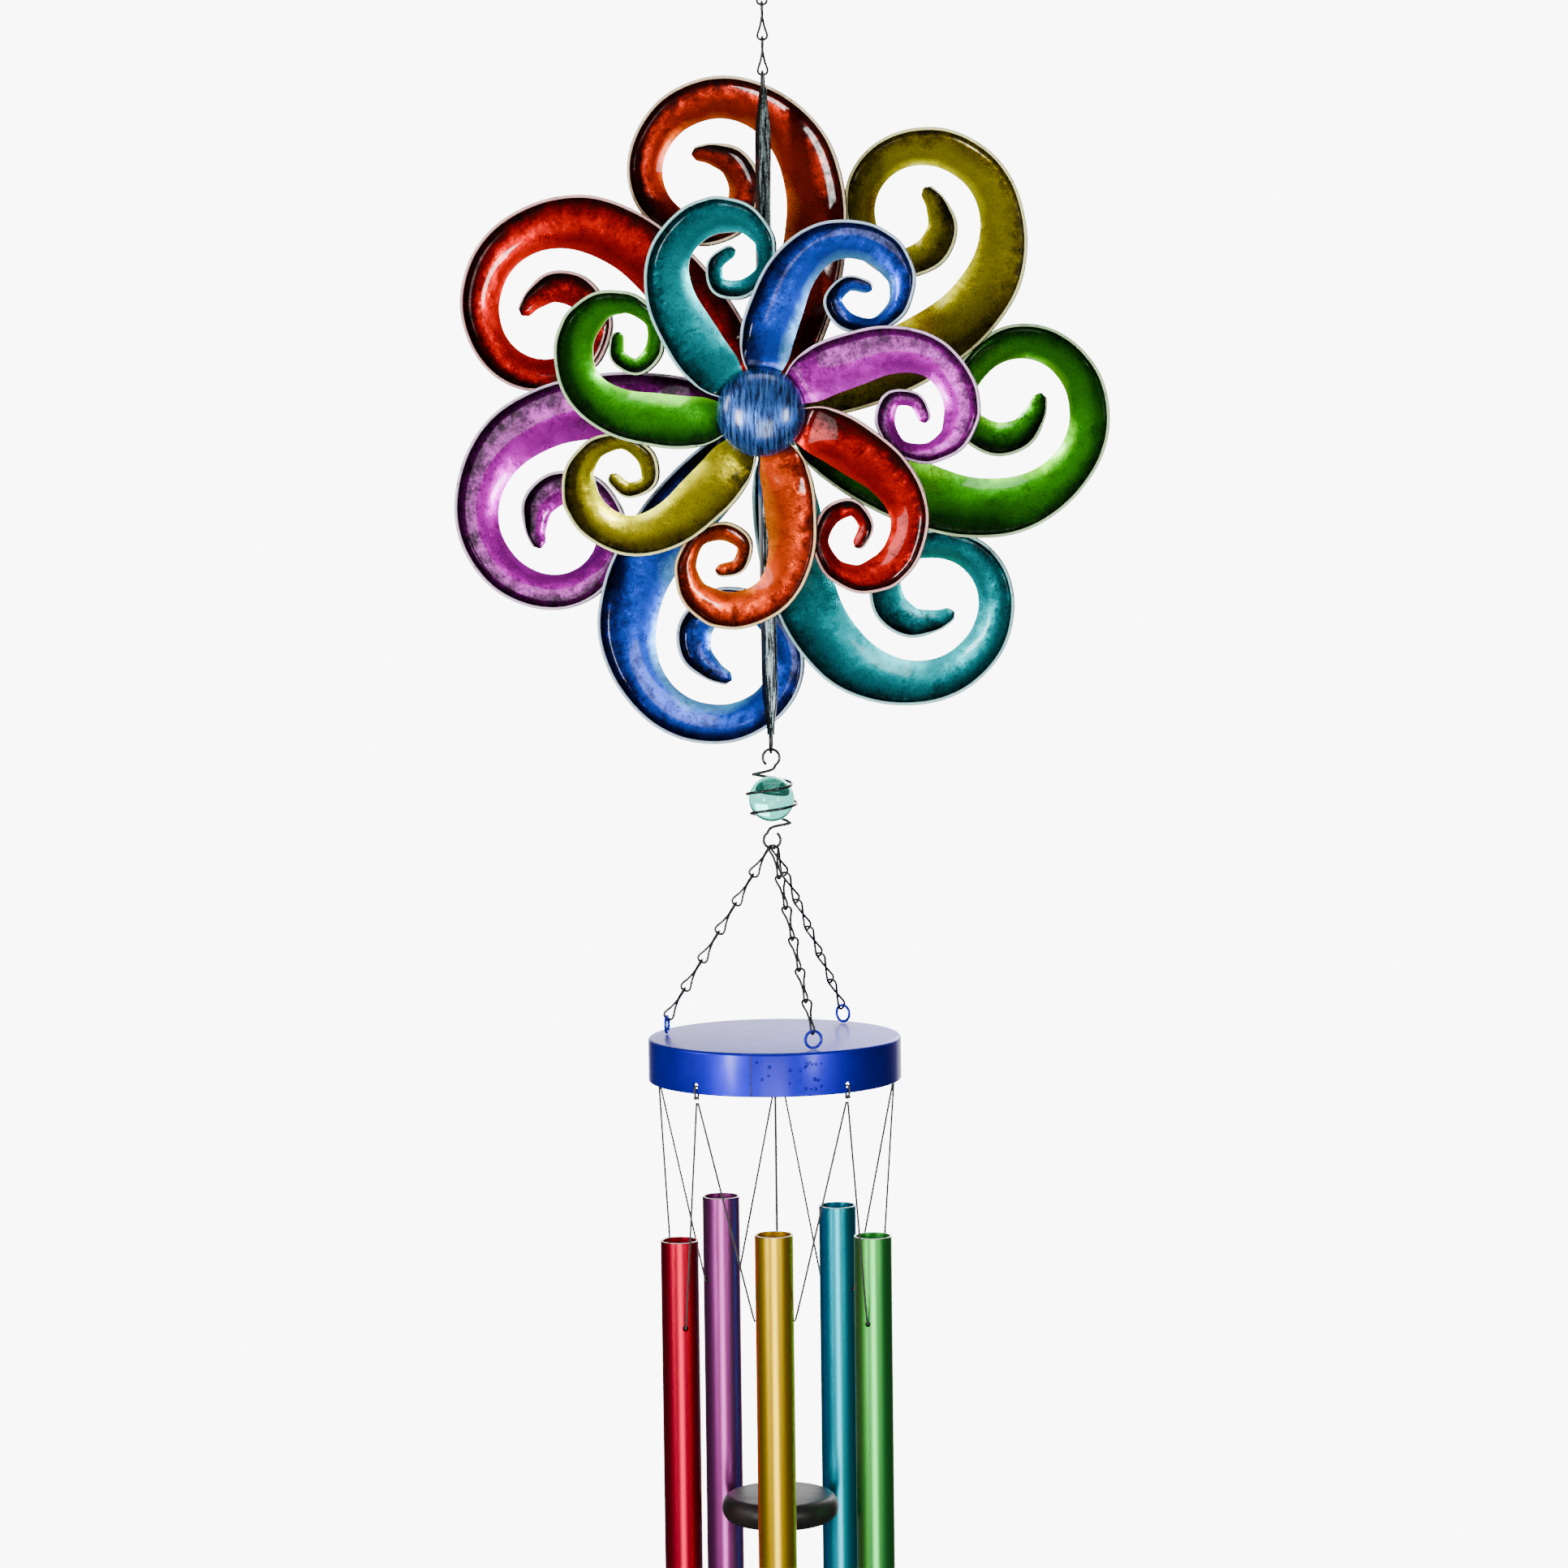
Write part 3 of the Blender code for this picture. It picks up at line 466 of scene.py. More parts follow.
def black_cord():
    """Waxed twisted cord."""
    f = Finish("black_cord")
    twist = f.node("ShaderNodeTexWave", bands_direction="DIAGONAL")
    twist.inputs["Scale"].default_value = 0.33
    twist.inputs["Distortion"].default_value = 0.6
    f.link(f.place("UV", (3, 2400, 1)), twist.inputs["Vector"])
    f.colour(f.mix(twist.outputs["Fac"], (0.008, 0.008, 0.008), (0.05, 0.048, 0.045)))
    f.bump(twist.outputs["Fac"], 0.6, 0.0002)
    f.set(Roughness=0.6, Sheen_Weight=0.2)
    return f.material


def aqua_glass():
    """Clear pale blue-green glass with a few seeds and a faint sweep of colour."""
    f = Finish("marble_glass")
    sweep_in = f.noise(f.place("Object", (20, 20, 110)), 1.0, 2, 0.5, 0.6)
    f.colour(f.ramp(sweep_in, (0.35, (0.06, 0.66, 0.5)), (0.7, (0.2, 0.82, 0.68))))
    f.rough(f.ramp(f.noise(f.place(), 300, 2, 0.5), (0.4, 0.0), (0.8, 0.03)))
    f.set(Transmission_Weight=1.0, IOR=1.5)
    return f.material


def black_wood():
    """Black lacquered wooden disc: the turned grain shows faintly in the gloss."""
    f = Finish("clapper_black")
    grain = f.noise(f.place("Object", (14, 220, 60)), 1.0, 5, 0.65, 0.5)
    f.colour(f.mix(grain, (0.003, 0.003, 0.003), (0.02, 0.018, 0.018)))
    f.rough(f.ramp(grain, (0.3, 0.36), (0.8, 0.52)))
    f.bump(grain, 0.3, 0.0003)
    f.set(Specular_IOR_Level=0.25)
    return f.material


# Each paint: where it is thin over bright metal, its body, where it is thick, and the pale painted highlight
# on the lip's top.
PAINTS = {
    "brown": ((1.0, 0.13, 0.0), (0.36, 0.012, 0.0), (0.07, 0.002, 0.001), (0.95, 0.72, 0.45)),
    "orange": ((1.0, 0.2, 0.0), (0.6, 0.045, 0.0), (0.26, 0.011, 0.0), (1.0, 0.72, 0.35)),
    "gold": ((0.95, 0.9, 0.0), (0.38, 0.33, 0.0), (0.13, 0.095, 0.0), (0.95, 0.95, 0.4)),
    "green": ((0.22, 1.0, 0.0), (0.035, 0.36, 0.003), (0.006, 0.07, 0.001), (0.65, 0.95, 0.5)),
    "teal": ((0.0, 0.85, 0.95), (0.0, 0.32, 0.36), (0.0, 0.1, 0.12), (0.5, 0.95, 0.95)),
    "blue": ((0.12, 0.46, 1.0), (0.015, 0.07, 0.62), (0.004, 0.012, 0.14), (0.6, 0.8, 1.0)),
    "purple": ((0.82, 0.01, 0.78), (0.38, 0.002, 0.35), (0.12, 0.001, 0.11), (0.98, 0.75, 0.98)),
    "magenta": ((0.86, 0.02, 0.84), (0.55, 0.004, 0.52), (0.22, 0.002, 0.21), (1.0, 0.65, 1.0)),
    "red": ((0.95, 0.003, 0.0), (0.4, 0.0, 0.0), (0.07, 0.0, 0.0), (1.0, 0.55, 0.5)),
}
TUBE_COLOURS = {
    "yellow": (0.85, 0.53, 0.0),
    "green": (0.1, 0.66, 0.13),
    "blue": (0.0, 0.42, 0.58),
    "purple": (0.46, 0.08, 0.37),
    "red": (0.6, 0.0, 0.035),
}

paint = {colour: candy_paint("candy_" + colour, *shades) for colour, shades in PAINTS.items()}
patina_and_highlight = patina_and_highlight_metal()
chain_wire = dark_wire("chain_steel")
cage_finish = dark_wire("cage_wire_black", (0.008, 0.007, 0.006), 0.22)
steel = turned_metal("hub_steel", (0.5, 0.5, 0.52))
brass = turned_metal("bush_brass", (0.75, 0.5, 0.16))
dome_finish = brushed_dome()
drum_finish = drum_paint()
seam_finish = dark_wire("drum_seam_indigo", (0.004, 0.004, 0.07), 0.35)
tube_finish = {colour: anodised("tube_" + colour, shade) for colour, shade in TUBE_COLOURS.items()}
cord_finish = black_cord()
glass = aqua_glass()
clapper_finish = black_wood()


def put(piece, finish, slot, body, *nodes):
    """Finishes a piece and lets it stand for CAD nodes on their body."""
    piece.data.materials.clear()
    piece.data.materials.append(finish)
    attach(piece, body)
    if nodes:
        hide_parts(*nodes)
    return piece


def middle(node):
    low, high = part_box(node)
    return (low + high) / 2


def size(node):
    low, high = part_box(node)
    return high - low


# ---------------------------------------------------------------- rotors

SHEET = 0.9 * MM
LIP_EDGE = 1.5 * MM
PETALS = 7
PITCH = math.tan(math.radians(12.0))
REAR_STATIONS = (
    (8.3, -4.7, 8), (15, -8.4, 14), (25, -13.8, 26), (44, -24, 33), (65, -35.5, 33), (85, -43, 31.4),
    (101.6, -46.3, 30), (120.6, -45.4, 28.5), (136.3, -39.2, 25.2), (148.7, -28.9, 22.3), (157, -15.7, 21),
    (159.8, -0.8, 20.2), (156.5, 15.7, 19.4), (146.6, 28.9, 18.2), (133.4, 35.9, 17.8), (119, 35.9, 17),
    (106.6, 28.9, 14.9), (97, 16.5, 14), (95.4, 7.8, 14), (97.9, -2.5, 15.3), (103.7, -8.3, 15.7),
    (114.4, -12.4, 17), (126, -9, 15.3), (132.6, 0.4, 11), (134.6, 7, 8), (135.2, 11, 7),
)
FRONT_STATIONS = (
    (7.8, 5.4, 8), (14, 9.6, 14), (22.5, 15, 23), (32.7, 20.7, 26), (45, 25, 26), (59.7, 29, 24),
    (73.2, 29, 21.5), (83.8, 25.5, 19.6), (91.4, 18.8, 18.4), (96.6, 10, 18.4), (98.2, 2.4, 18),
    (97.8, -3.6, 17.6), (93.8, -13.6, 14.4), (85.4, -19.6, 11.2), (78.6, -21.1, 10), (69, -18.8, 8),
    (63.8, -13.6, 8), (60.4, -5, 9.6), (62.6, 3.6, 9.2), (67.4, 6.4, 8), (75.4, 4.8, 7.6),
    (79.2, -2, 6.8), (79.8, -6.2, 6),
)
REAR_NAMES = ("green", "gold", "brown", "red", "purple", "blue", "teal")
FRONT_NAMES = ("magenta", "blue", "teal", "green", "gold", "orange", "red")
REAR_LIP, FRONT_LIP = 6.5 * MM, 6.0 * MM
REAR_TURN, FRONT_TURN = math.radians(-1.0), 0.0
# Points along a petal and across its face; the depth of its hollow as a share of its width, and where across
# the face it is deepest.
ROWS = 190
FACE = 14
DISH = 0.13
LOWEST = 0.7
# Distances from the rotor's centre, or from the petal's tip, over which each feature grows to its full size.
LEAN_GROWS = (13 * MM, 26 * MM)
LIP_GROWS = (24 * MM, 40 * MM)
LIP_FADES = (5 * MM, 24 * MM)
BOWL_GROWS = (20 * MM, 42 * MM)
TIP_ROUND = 3.2 * MM
ROOT_LIP = 0.4 * MM
FOLD = 1.8 * MM


def rise(value, start, end):
    share = min(max((value - start) / (end - start), 0.0), 1.0)
    return share * share * (3 - 2 * share)


def petal_grid(stations, curl, lip_height):
    """Sections of one petal about the rotor's centre, front towards -Y: a dished sheet whose outer edge turns
    up into a lip. Returns the sections and a (u, v) for each point."""
    fine = smooth_path(stations, ROWS)
    xy, width = fine[:, :2] * MM, fine[:, 2] * MM
    run = np.concatenate([[0], np.cumsum(np.linalg.norm(np.diff(xy, axis=0), axis=1))])
    sections, uvs = [], []
    for i in range(ROWS):
        ahead = xy[min(i + 1, ROWS - 1)] - xy[max(i - 1, 0)]
        along = ahead / np.linalg.norm(ahead)
        out = np.array((along[1], -along[0])) * curl
        distance = float(np.linalg.norm(xy[i]))
        left = run[-1] - run[i]
        round_off = math.sqrt(max(1 - (1 - min(left / TIP_ROUND, 1)) ** 2, 0.02))
        half = width[i] / 2 * round_off
        lean = -curl * PITCH * rise(distance, *LEAN_GROWS)
        lip = ROOT_LIP + lip_height * rise(distance, *LIP_GROWS) * rise(left, *LIP_FADES)
        bowl = DISH * 2 * half * rise(distance, *BOWL_GROWS)
        thin = min(SHEET, half * 0.45)
        wall = thin + (LIP_EDGE - SHEET) * rise(lip, 1.5 * MM, 5 * MM) * rise(half, 3 * MM, 5 * MM)
        curve = min(FOLD, lip * 0.8, half * 0.5)

        def deep(share):
            away = 1 - share / LOWEST if share < LOWEST else (share - LOWEST) / 0.75
            return bowl * (1 - away * away)

        outline = []
        for k in range(FACE):
            share = k / (FACE - 1)
            offset = -half + (2 * half - wall - curve) * share
            outline.append((offset, deep(share), share * FACE_V))
        for k in range(1, 4):
            angle = math.pi / 2 * k / 3
            offset = half - wall - curve + curve * math.sin(angle)
            outline.append((offset, deep(1) - (curve + deep(1)) * (1 - math.cos(angle)), FACE_V + 0.02 * k))
        top = max(lip - wall / 2, curve + 0.05 * MM)
        outline.append((half - wall, -top, LIP_V[0]))
        for k in range(1, 4):
            angle = math.pi * k / 4
            crown = -top - wall / 2 * math.sin(angle)
            outline.append((half - wall / 2 - wall / 2 * math.cos(angle), crown, LIP_V[0] + 0.05 * k))
        outline.append((half, -top, LIP_V[1]))
        outline.append((half, thin * 0.2, FOOT_V))
        for k in range(FACE - 1, -1, -1):
            share = k / (FACE - 1)
            offset = -half + (2 * half - thin * 0.6) * share
            outline.append((offset, deep(share) + thin, share * FACE_V))
        section = []
        for offset, back, v in outline:
            spot = xy[i] + out * offset
            section.append((spot[0], back - lean * spot[1], spot[1]))
            uvs.append((run[i] / run[-1], v))
        sections.append(section)
    return sections, uvs


def make_rotor(side, body, stations, curl, lip_height, first_turn, names):
    hub = middle(f"{side}_bush")
    sections, uvs = petal_grid(stations, curl, lip_height)
    for i, colour in enumerate(names):
        node = f"{side}_petal_{colour}"
        spin = Matrix.Rotation(-first_turn - 2 * math.pi * i / PETALS, 3, "Y")
        turned = [[spin @ Vector(p) + hub for p in section] for section in sections]
        piece = face_outwards(loft(f"{side}_scroll_{colour}", turned, uvs, sharp=50), 1e-7)
        put(piece, paint[colour], "candy_" + colour, body, node)


make_rotor("rear", "rear_rotor", REAR_STATIONS, 1, REAR_LIP, REAR_TURN, REAR_NAMES)
make_rotor("front", "front_rotor", FRONT_STATIONS, -1, FRONT_LIP, FRONT_TURN, FRONT_NAMES)


def make_dome():
    """A pressed cap, hollow behind, with a small rolled hem; its rim stands just in front of the bush."""
    low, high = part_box("front_dome")
    centre, radius = (low + high) / 2, (high.x - low.x) / 2
    hem, flare, wall, clear = 0.9 * MM, 0.2 * MM, 1.1 * MM, 0.4 * MM
    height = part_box("front_bush")[0].y - clear + hem - low.y
    outer = [(radius * math.cos(a), height * math.sin(a)) for a in np.linspace(0, math.pi / 2, 30)]
    inner = [((radius - wall) * math.cos(a), (height - wall) * math.sin(a))
             for a in np.linspace(0, math.pi / 2, 24)]
    lip = [(radius + flare, -hem), (radius + flare, -0.2 * MM)]
    profile = inner[::-1] + [(radius - wall, -hem)] + lip + outer
    profile[0] = (0.0, height - wall)
    profile[-1] = (0.0, height)
    turn = Matrix.Rotation(math.pi / 2, 3, "X")
    piece = lathe("hub_cap", profile, 96, (centre.x, low.y + height, centre.z), turn)
    put(piece, dome_finish, "brushed_blue", "front_rotor", "front_dome")


make_dome()


# ---------------------------------------------------------------- frame bar, rings, hook and chains

def make_frame_bar():
    low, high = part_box("frame")
    hub = middle("axle")
    half_height = (high.z - low.z) / 2
    centre = (high.z + low.z) / 2
    taper, belly, shoulder = 24.0 * MM, 12.0 * MM, 0.7 * MM
    sections, uvs = [], []
    rows = 90
    for i in range(rows):
        up = math.sin(math.pi / 2 * (-1 + 2 * i / (rows - 1)))
        full = 1 - up * up
        broad = rise((1 - abs(up)) * half_height, 0, taper)
        width = (3.8 + 4.0 * broad) * MM
        strip = (1.8 + 3.4 * broad) * MM
        depth = (3.2 + 7.8 * full) * MM
        front = -belly * full - depth / 2
        back = front + depth
        right = width / 2
        z = centre + up * half_height
        outline = [
            (right - strip, front + 0.2 * MM), (right - strip + shoulder, front), (right - shoulder, front),
            (right, front + shoulder), (right, back - shoulder), (right - shoulder, back),
            (-right + shoulder, back), (-right, back - shoulder), (-right, front + depth * 0.72),
        ]
        sections.append([(x, y, z) for x, y in outline])
        # u = 1 on the front face marks where the painted highlight goes.
        uvs += [(1.0 if k < 4 else 0.0, i / rows) for k in range(len(outline))]
    bar = face_outwards(loft("crescent_bar", sections, uvs, sharp=30))
    turn = Matrix.Rotation(math.pi / 2, 3, "X")
    gap, edge, bore, outside = 0.3 * MM, 0.5 * MM, 2.3 * MM, 5.0 * MM
    start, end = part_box("front_washer")[1].y + gap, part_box("rear_washer")[0].y - gap
    profile = [(bore, -end), (outside - edge, -end), (outside, -end + edge), (outside, -start - edge),
               (outside - edge, -start), (bore, -start)]
    boss = lathe("frame_boss", profile, 48, (0, 0, hub.z), turn)
    bar = join_pieces("crescent_bar", [bar, boss])
    put(bar, patina_and_highlight, "frame_patina", "frame", "frame")


make_frame_bar()


def make_rings():
    """The rings at the frame's two tips, upright and seen edge-on from the front."""
    wire, rounder, count = 1.4 * MM, 0.1 * MM, 64
    for node, body in (("top_ring", "frame"), ("bottom_ring", "lower_ring")):
        extent = size(node)
        across, high = extent.y - wire + rounder, extent.z - wire + rounder
        turns = [2 * math.pi * i / count for i in range(count)]
        path = [middle(node) + Vector((0, across / 2 * math.cos(a), high / 2 * math.sin(a))) for a in turns]
        put(sweep(node + "_wire", path, wire, 14, True), chain_wire, "chain_steel", body, node)


make_rings()


def make_hook():
    """An S of wire: an open bend to hang by, and a nearly closed eye for the chain."""
    bend, eye, drop, wire = 8.3 * MM, 5.3 * MM, 22.0 * MM, 2.6 * MM
    low_bend, points = 7.0 * MM, []
    for angle in np.radians(np.linspace(-35, 180, 30)):
        points.append((-bend * math.cos(angle), 0, bend * math.sin(angle) - low_bend))
    points.append((bend * 0.985, 0, -low_bend - 3 * MM))
    points.append((bend * 0.9, 0, -low_bend - 6 * MM))
    centre = -low_bend - drop
    for angle in np.radians(np.linspace(75, -245, 48)):
        points.append((eye * math.cos(angle), 0, centre + eye * math.sin(angle)))
    path = smooth_path(points, 110)
    put(sweep("hook_wire", path, wire, 18), chain_wire, "chain_steel", "hook", "hanging_hook")


make_hook()


def link_shape(length, width, wire, count=56):
    """A jack-chain link about its middle: a loop in the YZ plane above, and one in the XZ plane below."""
    half = (length - wire) / 2
    waist = wire * 0.54
    swell = ((width - wire) / 2 - waist * 0.58) / 0.385
    points = []
    for i in range(count):
        angle = 2 * math.pi * i / count
        up = math.cos(angle)
        out = math.sin(angle) * (waist + swell * up * up)
        twist = math.pi / 2 * rise(up, -0.3, 0.3)
        points.append((out * math.cos(twist), out * math.sin(twist), half * up))
    return points


def link_tree():
    """Sets one link on every point of a mesh, turned by the point's own rotation."""
    tree = bpy.data.node_groups.new("chain_links", "GeometryNodeTree")
    for label, way, kind in (("Places", "INPUT", "Geometry"), ("Link", "INPUT", "Object"),
                             ("Wire finish", "INPUT", "Material"), ("Chain", "OUTPUT", "Geometry")):
        tree.interface.new_socket(label, in_out=way, socket_type="NodeSocket" + kind)
    start, end, info, turn, spread, real, coat, euler = [tree.nodes.new(kind) for kind in (
        "NodeGroupInput", "NodeGroupOutput", "GeometryNodeObjectInfo", "GeometryNodeInputNamedAttribute",
        "GeometryNodeInstanceOnPoints", "GeometryNodeRealizeInstances", "GeometryNodeSetMaterial",
        "FunctionNodeEulerToRotation")]
    turn.data_type = "FLOAT_VECTOR"
    turn.inputs["Name"].default_value = "turn"
    for giver, out, taker, into in (
        (start, "Places", spread, "Points"), (start, "Link", info, "Object"),
        (info, "Geometry", spread, "Instance"), (turn, "Attribute", euler, "Euler"),
        (euler, "Rotation", spread, "Rotation"), (spread, "Instances", real, "Geometry"),
        (real, "Geometry", coat, "Geometry"), (start, "Wire finish", coat, "Material"),
        (coat, "Geometry", end, "Chain"),
    ):
        tree.links.new(giver.outputs[out], taker.inputs[into])
    return tree


LINKS = link_tree()


def chain(name, places, turns, length):
    """A plain mesh of links of this length at these places."""
    link = sweep("link", link_shape(length, LINK_WIDTH, CHAIN_WIRE), CHAIN_WIRE, 10, True)
    mesh = bpy.data.meshes.new(name)
    mesh.from_pydata([tuple(p) for p in places], [], [])
    turn = mesh.attributes.new("turn", "FLOAT_VECTOR", "POINT")
    turn.data.foreach_set("vector", [value for t in turns for value in t])
    points = add_object(name, mesh)
    change = points.modifiers.new("links", "NODES")
    change.node_group = LINKS
    sockets = {item.name: item.identifier for item in LINKS.interface.items_tree if item.in_out == "INPUT"}
    change[sockets["Link"]] = link
    change[sockets["Wire finish"]] = chain_wire
    bpy.context.view_layer.update()
    done = bpy.data.meshes.new_from_object(points.evaluated_get(bpy.context.evaluated_depsgraph_get()))
    points.modifiers.clear()
    bpy.data.objects.remove(points)
    bpy.data.objects.remove(link)
    done.shade_smooth()
    return add_object(name, done)


CHAIN_WIRE = 1.2 * MM
LINK_WIDTH = 6.0 * MM
TOP_LINKS = 4
SUPPORT_LINKS = 6
CAGE_WIRE = 1.45 * MM


def make_top_chain():
    nodes = [f"top_chain_link_{i + 1}" for i in range(TOP_LINKS)]
    places, upright = [middle(node) for node in nodes], [(0, 0, 0)] * TOP_LINKS
    piece = chain("top_chain_links", places, upright, size(nodes[0]).z)
    put(piece, chain_wire, "chain_steel", "top_chain", *nodes)


make_top_chain()


def make_support_chains():
    """Three chains of six links from the cage's lower loop to the eyes on the drum."""
    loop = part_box("cage_wire")[0].z + CAGE_WIRE / 2
    places, turns = [], []
    for i in range(3):
        eye = middle(f"drum_eye_{i + 1}")
        start = lift(loop + 1.25 * MM) + outwards(eye)[0] * 0.9 * MM
        end = Vector((eye.x, eye.y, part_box(f"drum_eye_{i + 1}")[1].z - 2.15 * MM))
        run = end - start
        wire_to_wire = (run.length + (SUPPORT_LINKS - 1) * CHAIN_WIRE) / SUPPORT_LINKS
        pitch = wire_to_wire - CHAIN_WIRE
        turn = run.to_track_quat("-Z", "X").to_euler()
        for j in range(SUPPORT_LINKS):
            places.append(start + run.normalized() * (wire_to_wire / 2 + pitch * j))
            turns.append(tuple(turn))
    piece = chain("support_chain_links", places, turns, wire_to_wire + CHAIN_WIRE)
    put(piece, chain_wire, "chain_steel", "chime_drum", *[f"support_chain_{i}" for i in (1, 2, 3)])


make_support_chains()


def make_cage():
    """The wire opens from its top loop into a coil round the marble and closes to the lower loop."""
    ball = middle("marble")
    radius = size("marble").x / 2
    loop_radius, end_coil = 4.2 * MM, 8.6 * MM
    reach = radius + CAGE_WIRE / 2 + 0.5 * MM
    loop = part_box("cage_wire")[1].z - CAGE_WIRE / 2 - loop_radius - ball.z
    coil, half_turns, half = radius + 1.0 * MM, 5, []
    for angle in np.radians(np.linspace(235, -55, 16)):
        half.append((loop_radius * math.cos(angle), 0, loop + loop_radius * math.sin(angle)))
    half.append((0, 0.9 * MM, (loop - loop_radius + coil) / 2))
    points = list(half)
    for share in np.linspace(0, 1, 12 * half_turns + 1):
        level = coil * (1 - 2 * share)
        out = max(math.sqrt(max(reach * reach - level * level, 0.0)), end_coil)
        angle = math.pi - math.pi * half_turns * share
        points.append((out * math.cos(angle), out * math.sin(angle), level))
    points += [(-x, y, -z) for x, y, z in half[::-1]]
    path = smooth_path([Vector(p) + ball for p in points], 330)
    put(sweep("cage_coil", path, CAGE_WIRE, 12), cage_finish, "cage_wire_black", "cage", "cage_wire")
    marble = lathe("glass_marble", ball_profile(radius, radius, 40), 64, ball, closed=False)
    put(marble, glass, "marble_glass", "cage", "marble")


make_cage()


# ---------------------------------------------------------------- drum, tubes, cords and striker

TUBES = ("yellow", "green", "blue", "purple", "red")
DRUM_WALL = 1.2 * MM
EYE_WIRE = 1.5 * MM
RIM_HOLE_UP = 4.0 * MM
TUBE_RADIUS = 9.5 * MM
TUBE_WALL = 1.0 * MM
TUBE_HOLE_DOWN = 43 * MM
HOLE_RADIUS = 1.5 * MM
STRING = 1.0 * MM
STRIKER_STRING = 1.2 * MM
SEAM = math.radians(264.0)
BEADS = 26


def rod_cutter(name, centre, direction, length):
    """A rod as thick as a cord hole, to cut with."""
    turn = Vector(direction).to_track_quat("Z", "X").to_matrix()
    half = length / 2
    profile = [(0, -half), (HOLE_RADIUS, -half), (HOLE_RADIUS, half), (0, half)]
    return lathe(name, profile, 32, centre, turn, closed=False)


def make_drum_seam(radius, low, high):
    """The lapped joint in the drum's band, a ragged low ridge, with beads of spatter to the right of it."""
    rng = np.random.default_rng(4)
    rows, sunk = 36, -0.3 * MM
    sections = []
    for level in np.linspace(low + 0.5 * MM, high - 0.9 * MM, rows):
        middle_turn = SEAM + rng.normal(0, 0.0016)
        half = 0.4 * MM / radius * (1 + rng.uniform(-0.35, 0.5))
        proud = 0.22 * MM + rng.uniform(0, 0.12) * MM
        section = []
        for share, out in ((-1, sunk), (-0.8, proud * 0.4), (0.1, proud), (0.8, proud * 0.7), (1, sunk)):
            angle = middle_turn + half * share
            section.append(((radius + out) * math.cos(angle), (radius + out) * math.sin(angle), level))
        sections.append(section)
    ridge = face_outwards(loft("drum_seam", sections, [(0, 0)] * rows * 5))
    put(ridge, seam_finish, "drum_blue", "chime_drum")
    beads = []
    for i in range(BEADS):
        angle = SEAM + math.radians(rng.uniform(17, 32) if i % 5 else rng.uniform(2, 12))
        level = rng.uniform(low + 2 * MM, high - 3 * MM)
        broad = rng.uniform(0.35, 0.95) * MM
        out = Vector((math.cos(angle), math.sin(angle), 0))
        turn = out.to_track_quat("Z", "X").to_matrix()
        spot = out * (radius - 0.1 * MM) + lift(level)
        beads.append(lathe("bead", ball_profile(broad, broad * 0.7, 9), 14, spot, turn, closed=False))
    put(join_pieces("drum_weld_beads", beads), drum_finish, "drum_blue", "chime_drum")


def make_drum():
    """A shallow drum, open below, with its corner rounded over, five rim holes and three wire eyes on top."""
    low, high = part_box("drum")
    radius, edge, bevel, fillet = (high.x - low.x) / 2, 1.5 * MM, 0.3 * MM, 0.5 * MM
    inside, under = radius - DRUM_WALL, high.z - DRUM_WALL
    corner = [(radius - edge + edge * math.sin(a), high.z - edge + edge * math.cos(a))
              for a in np.linspace(0, math.pi / 2, 7)]
    hem = [(radius, low.z + bevel), (radius - bevel, low.z), (inside + bevel, low.z), (inside, low.z + bevel)]
    profile = [(0, high.z)] + corner + hem + [(inside, under - fillet), (inside - fillet, under), (0, under)]
    drum = lathe("drum_shell", profile, 160, closed=False)
    cutters = []
    for i in range(len(TUBES)):
        out, _ = outwards(middle(f"rim_knot_{i + 1}"))
        cutters.append(rod_cutter("rim_hole", out * radius + lift(low.z + RIM_HOLE_UP), out, 10 * MM))
    cut(drum, cutters)
    put(drum, drum_finish, "drum_blue", "chime_drum", "drum")
    make_drum_seam(radius, low.z, high.z)
    for i in range(3):
        node = f"drum_eye_{i + 1}"
        centre, across = middle(node), outwards(middle(node))[1]
        reach = size(node).z / 2 - EYE_WIRE / 2
        path = [centre + across * reach * math.cos(a) + lift(reach * math.sin(a) - 0.2 * MM)
                for a in np.linspace(0, 2 * math.pi, 49)[:-1]]
        eyelet = sweep(f"drum_eyelet_{i + 1}", path, EYE_WIRE, 14, True)
        put(eyelet, drum_finish, "drum_blue", "chime_drum", node)


make_drum()


def make_tube(colour):
    """One tube with a cord hole right through it. The marks tell its finish which faces are sawn ends."""
    node = f"tube_{colour}"
    low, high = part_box(node)
    centre = (low + high) / 2
    outer, inner, bevel = TUBE_RADIUS, TUBE_RADIUS - TUBE_WALL, 0.2 * MM
    profile = [
        (inner, low.z + bevel), (inner + bevel, low.z), (outer - bevel, low.z), (outer, low.z + bevel),
        (outer, high.z - bevel), (outer - bevel, high.z), (inner + bevel, high.z), (inner, high.z - bevel),
    ]
    tube = lathe(node + "_wall", profile, 96, (centre.x, centre.y, 0), marks=(0, 1, 1, 0, 0, 1, 1, 0))
    level = Vector((centre.x, centre.y, high.z - TUBE_HOLE_DOWN))
    cut(tube, [rod_cutter("cord_hole", level, outwards(centre)[1], 40 * MM)])
    put(tube, tube_finish[colour], node, f"chime_{colour}", node)


for colour in TUBES:
    make_tube(colour)


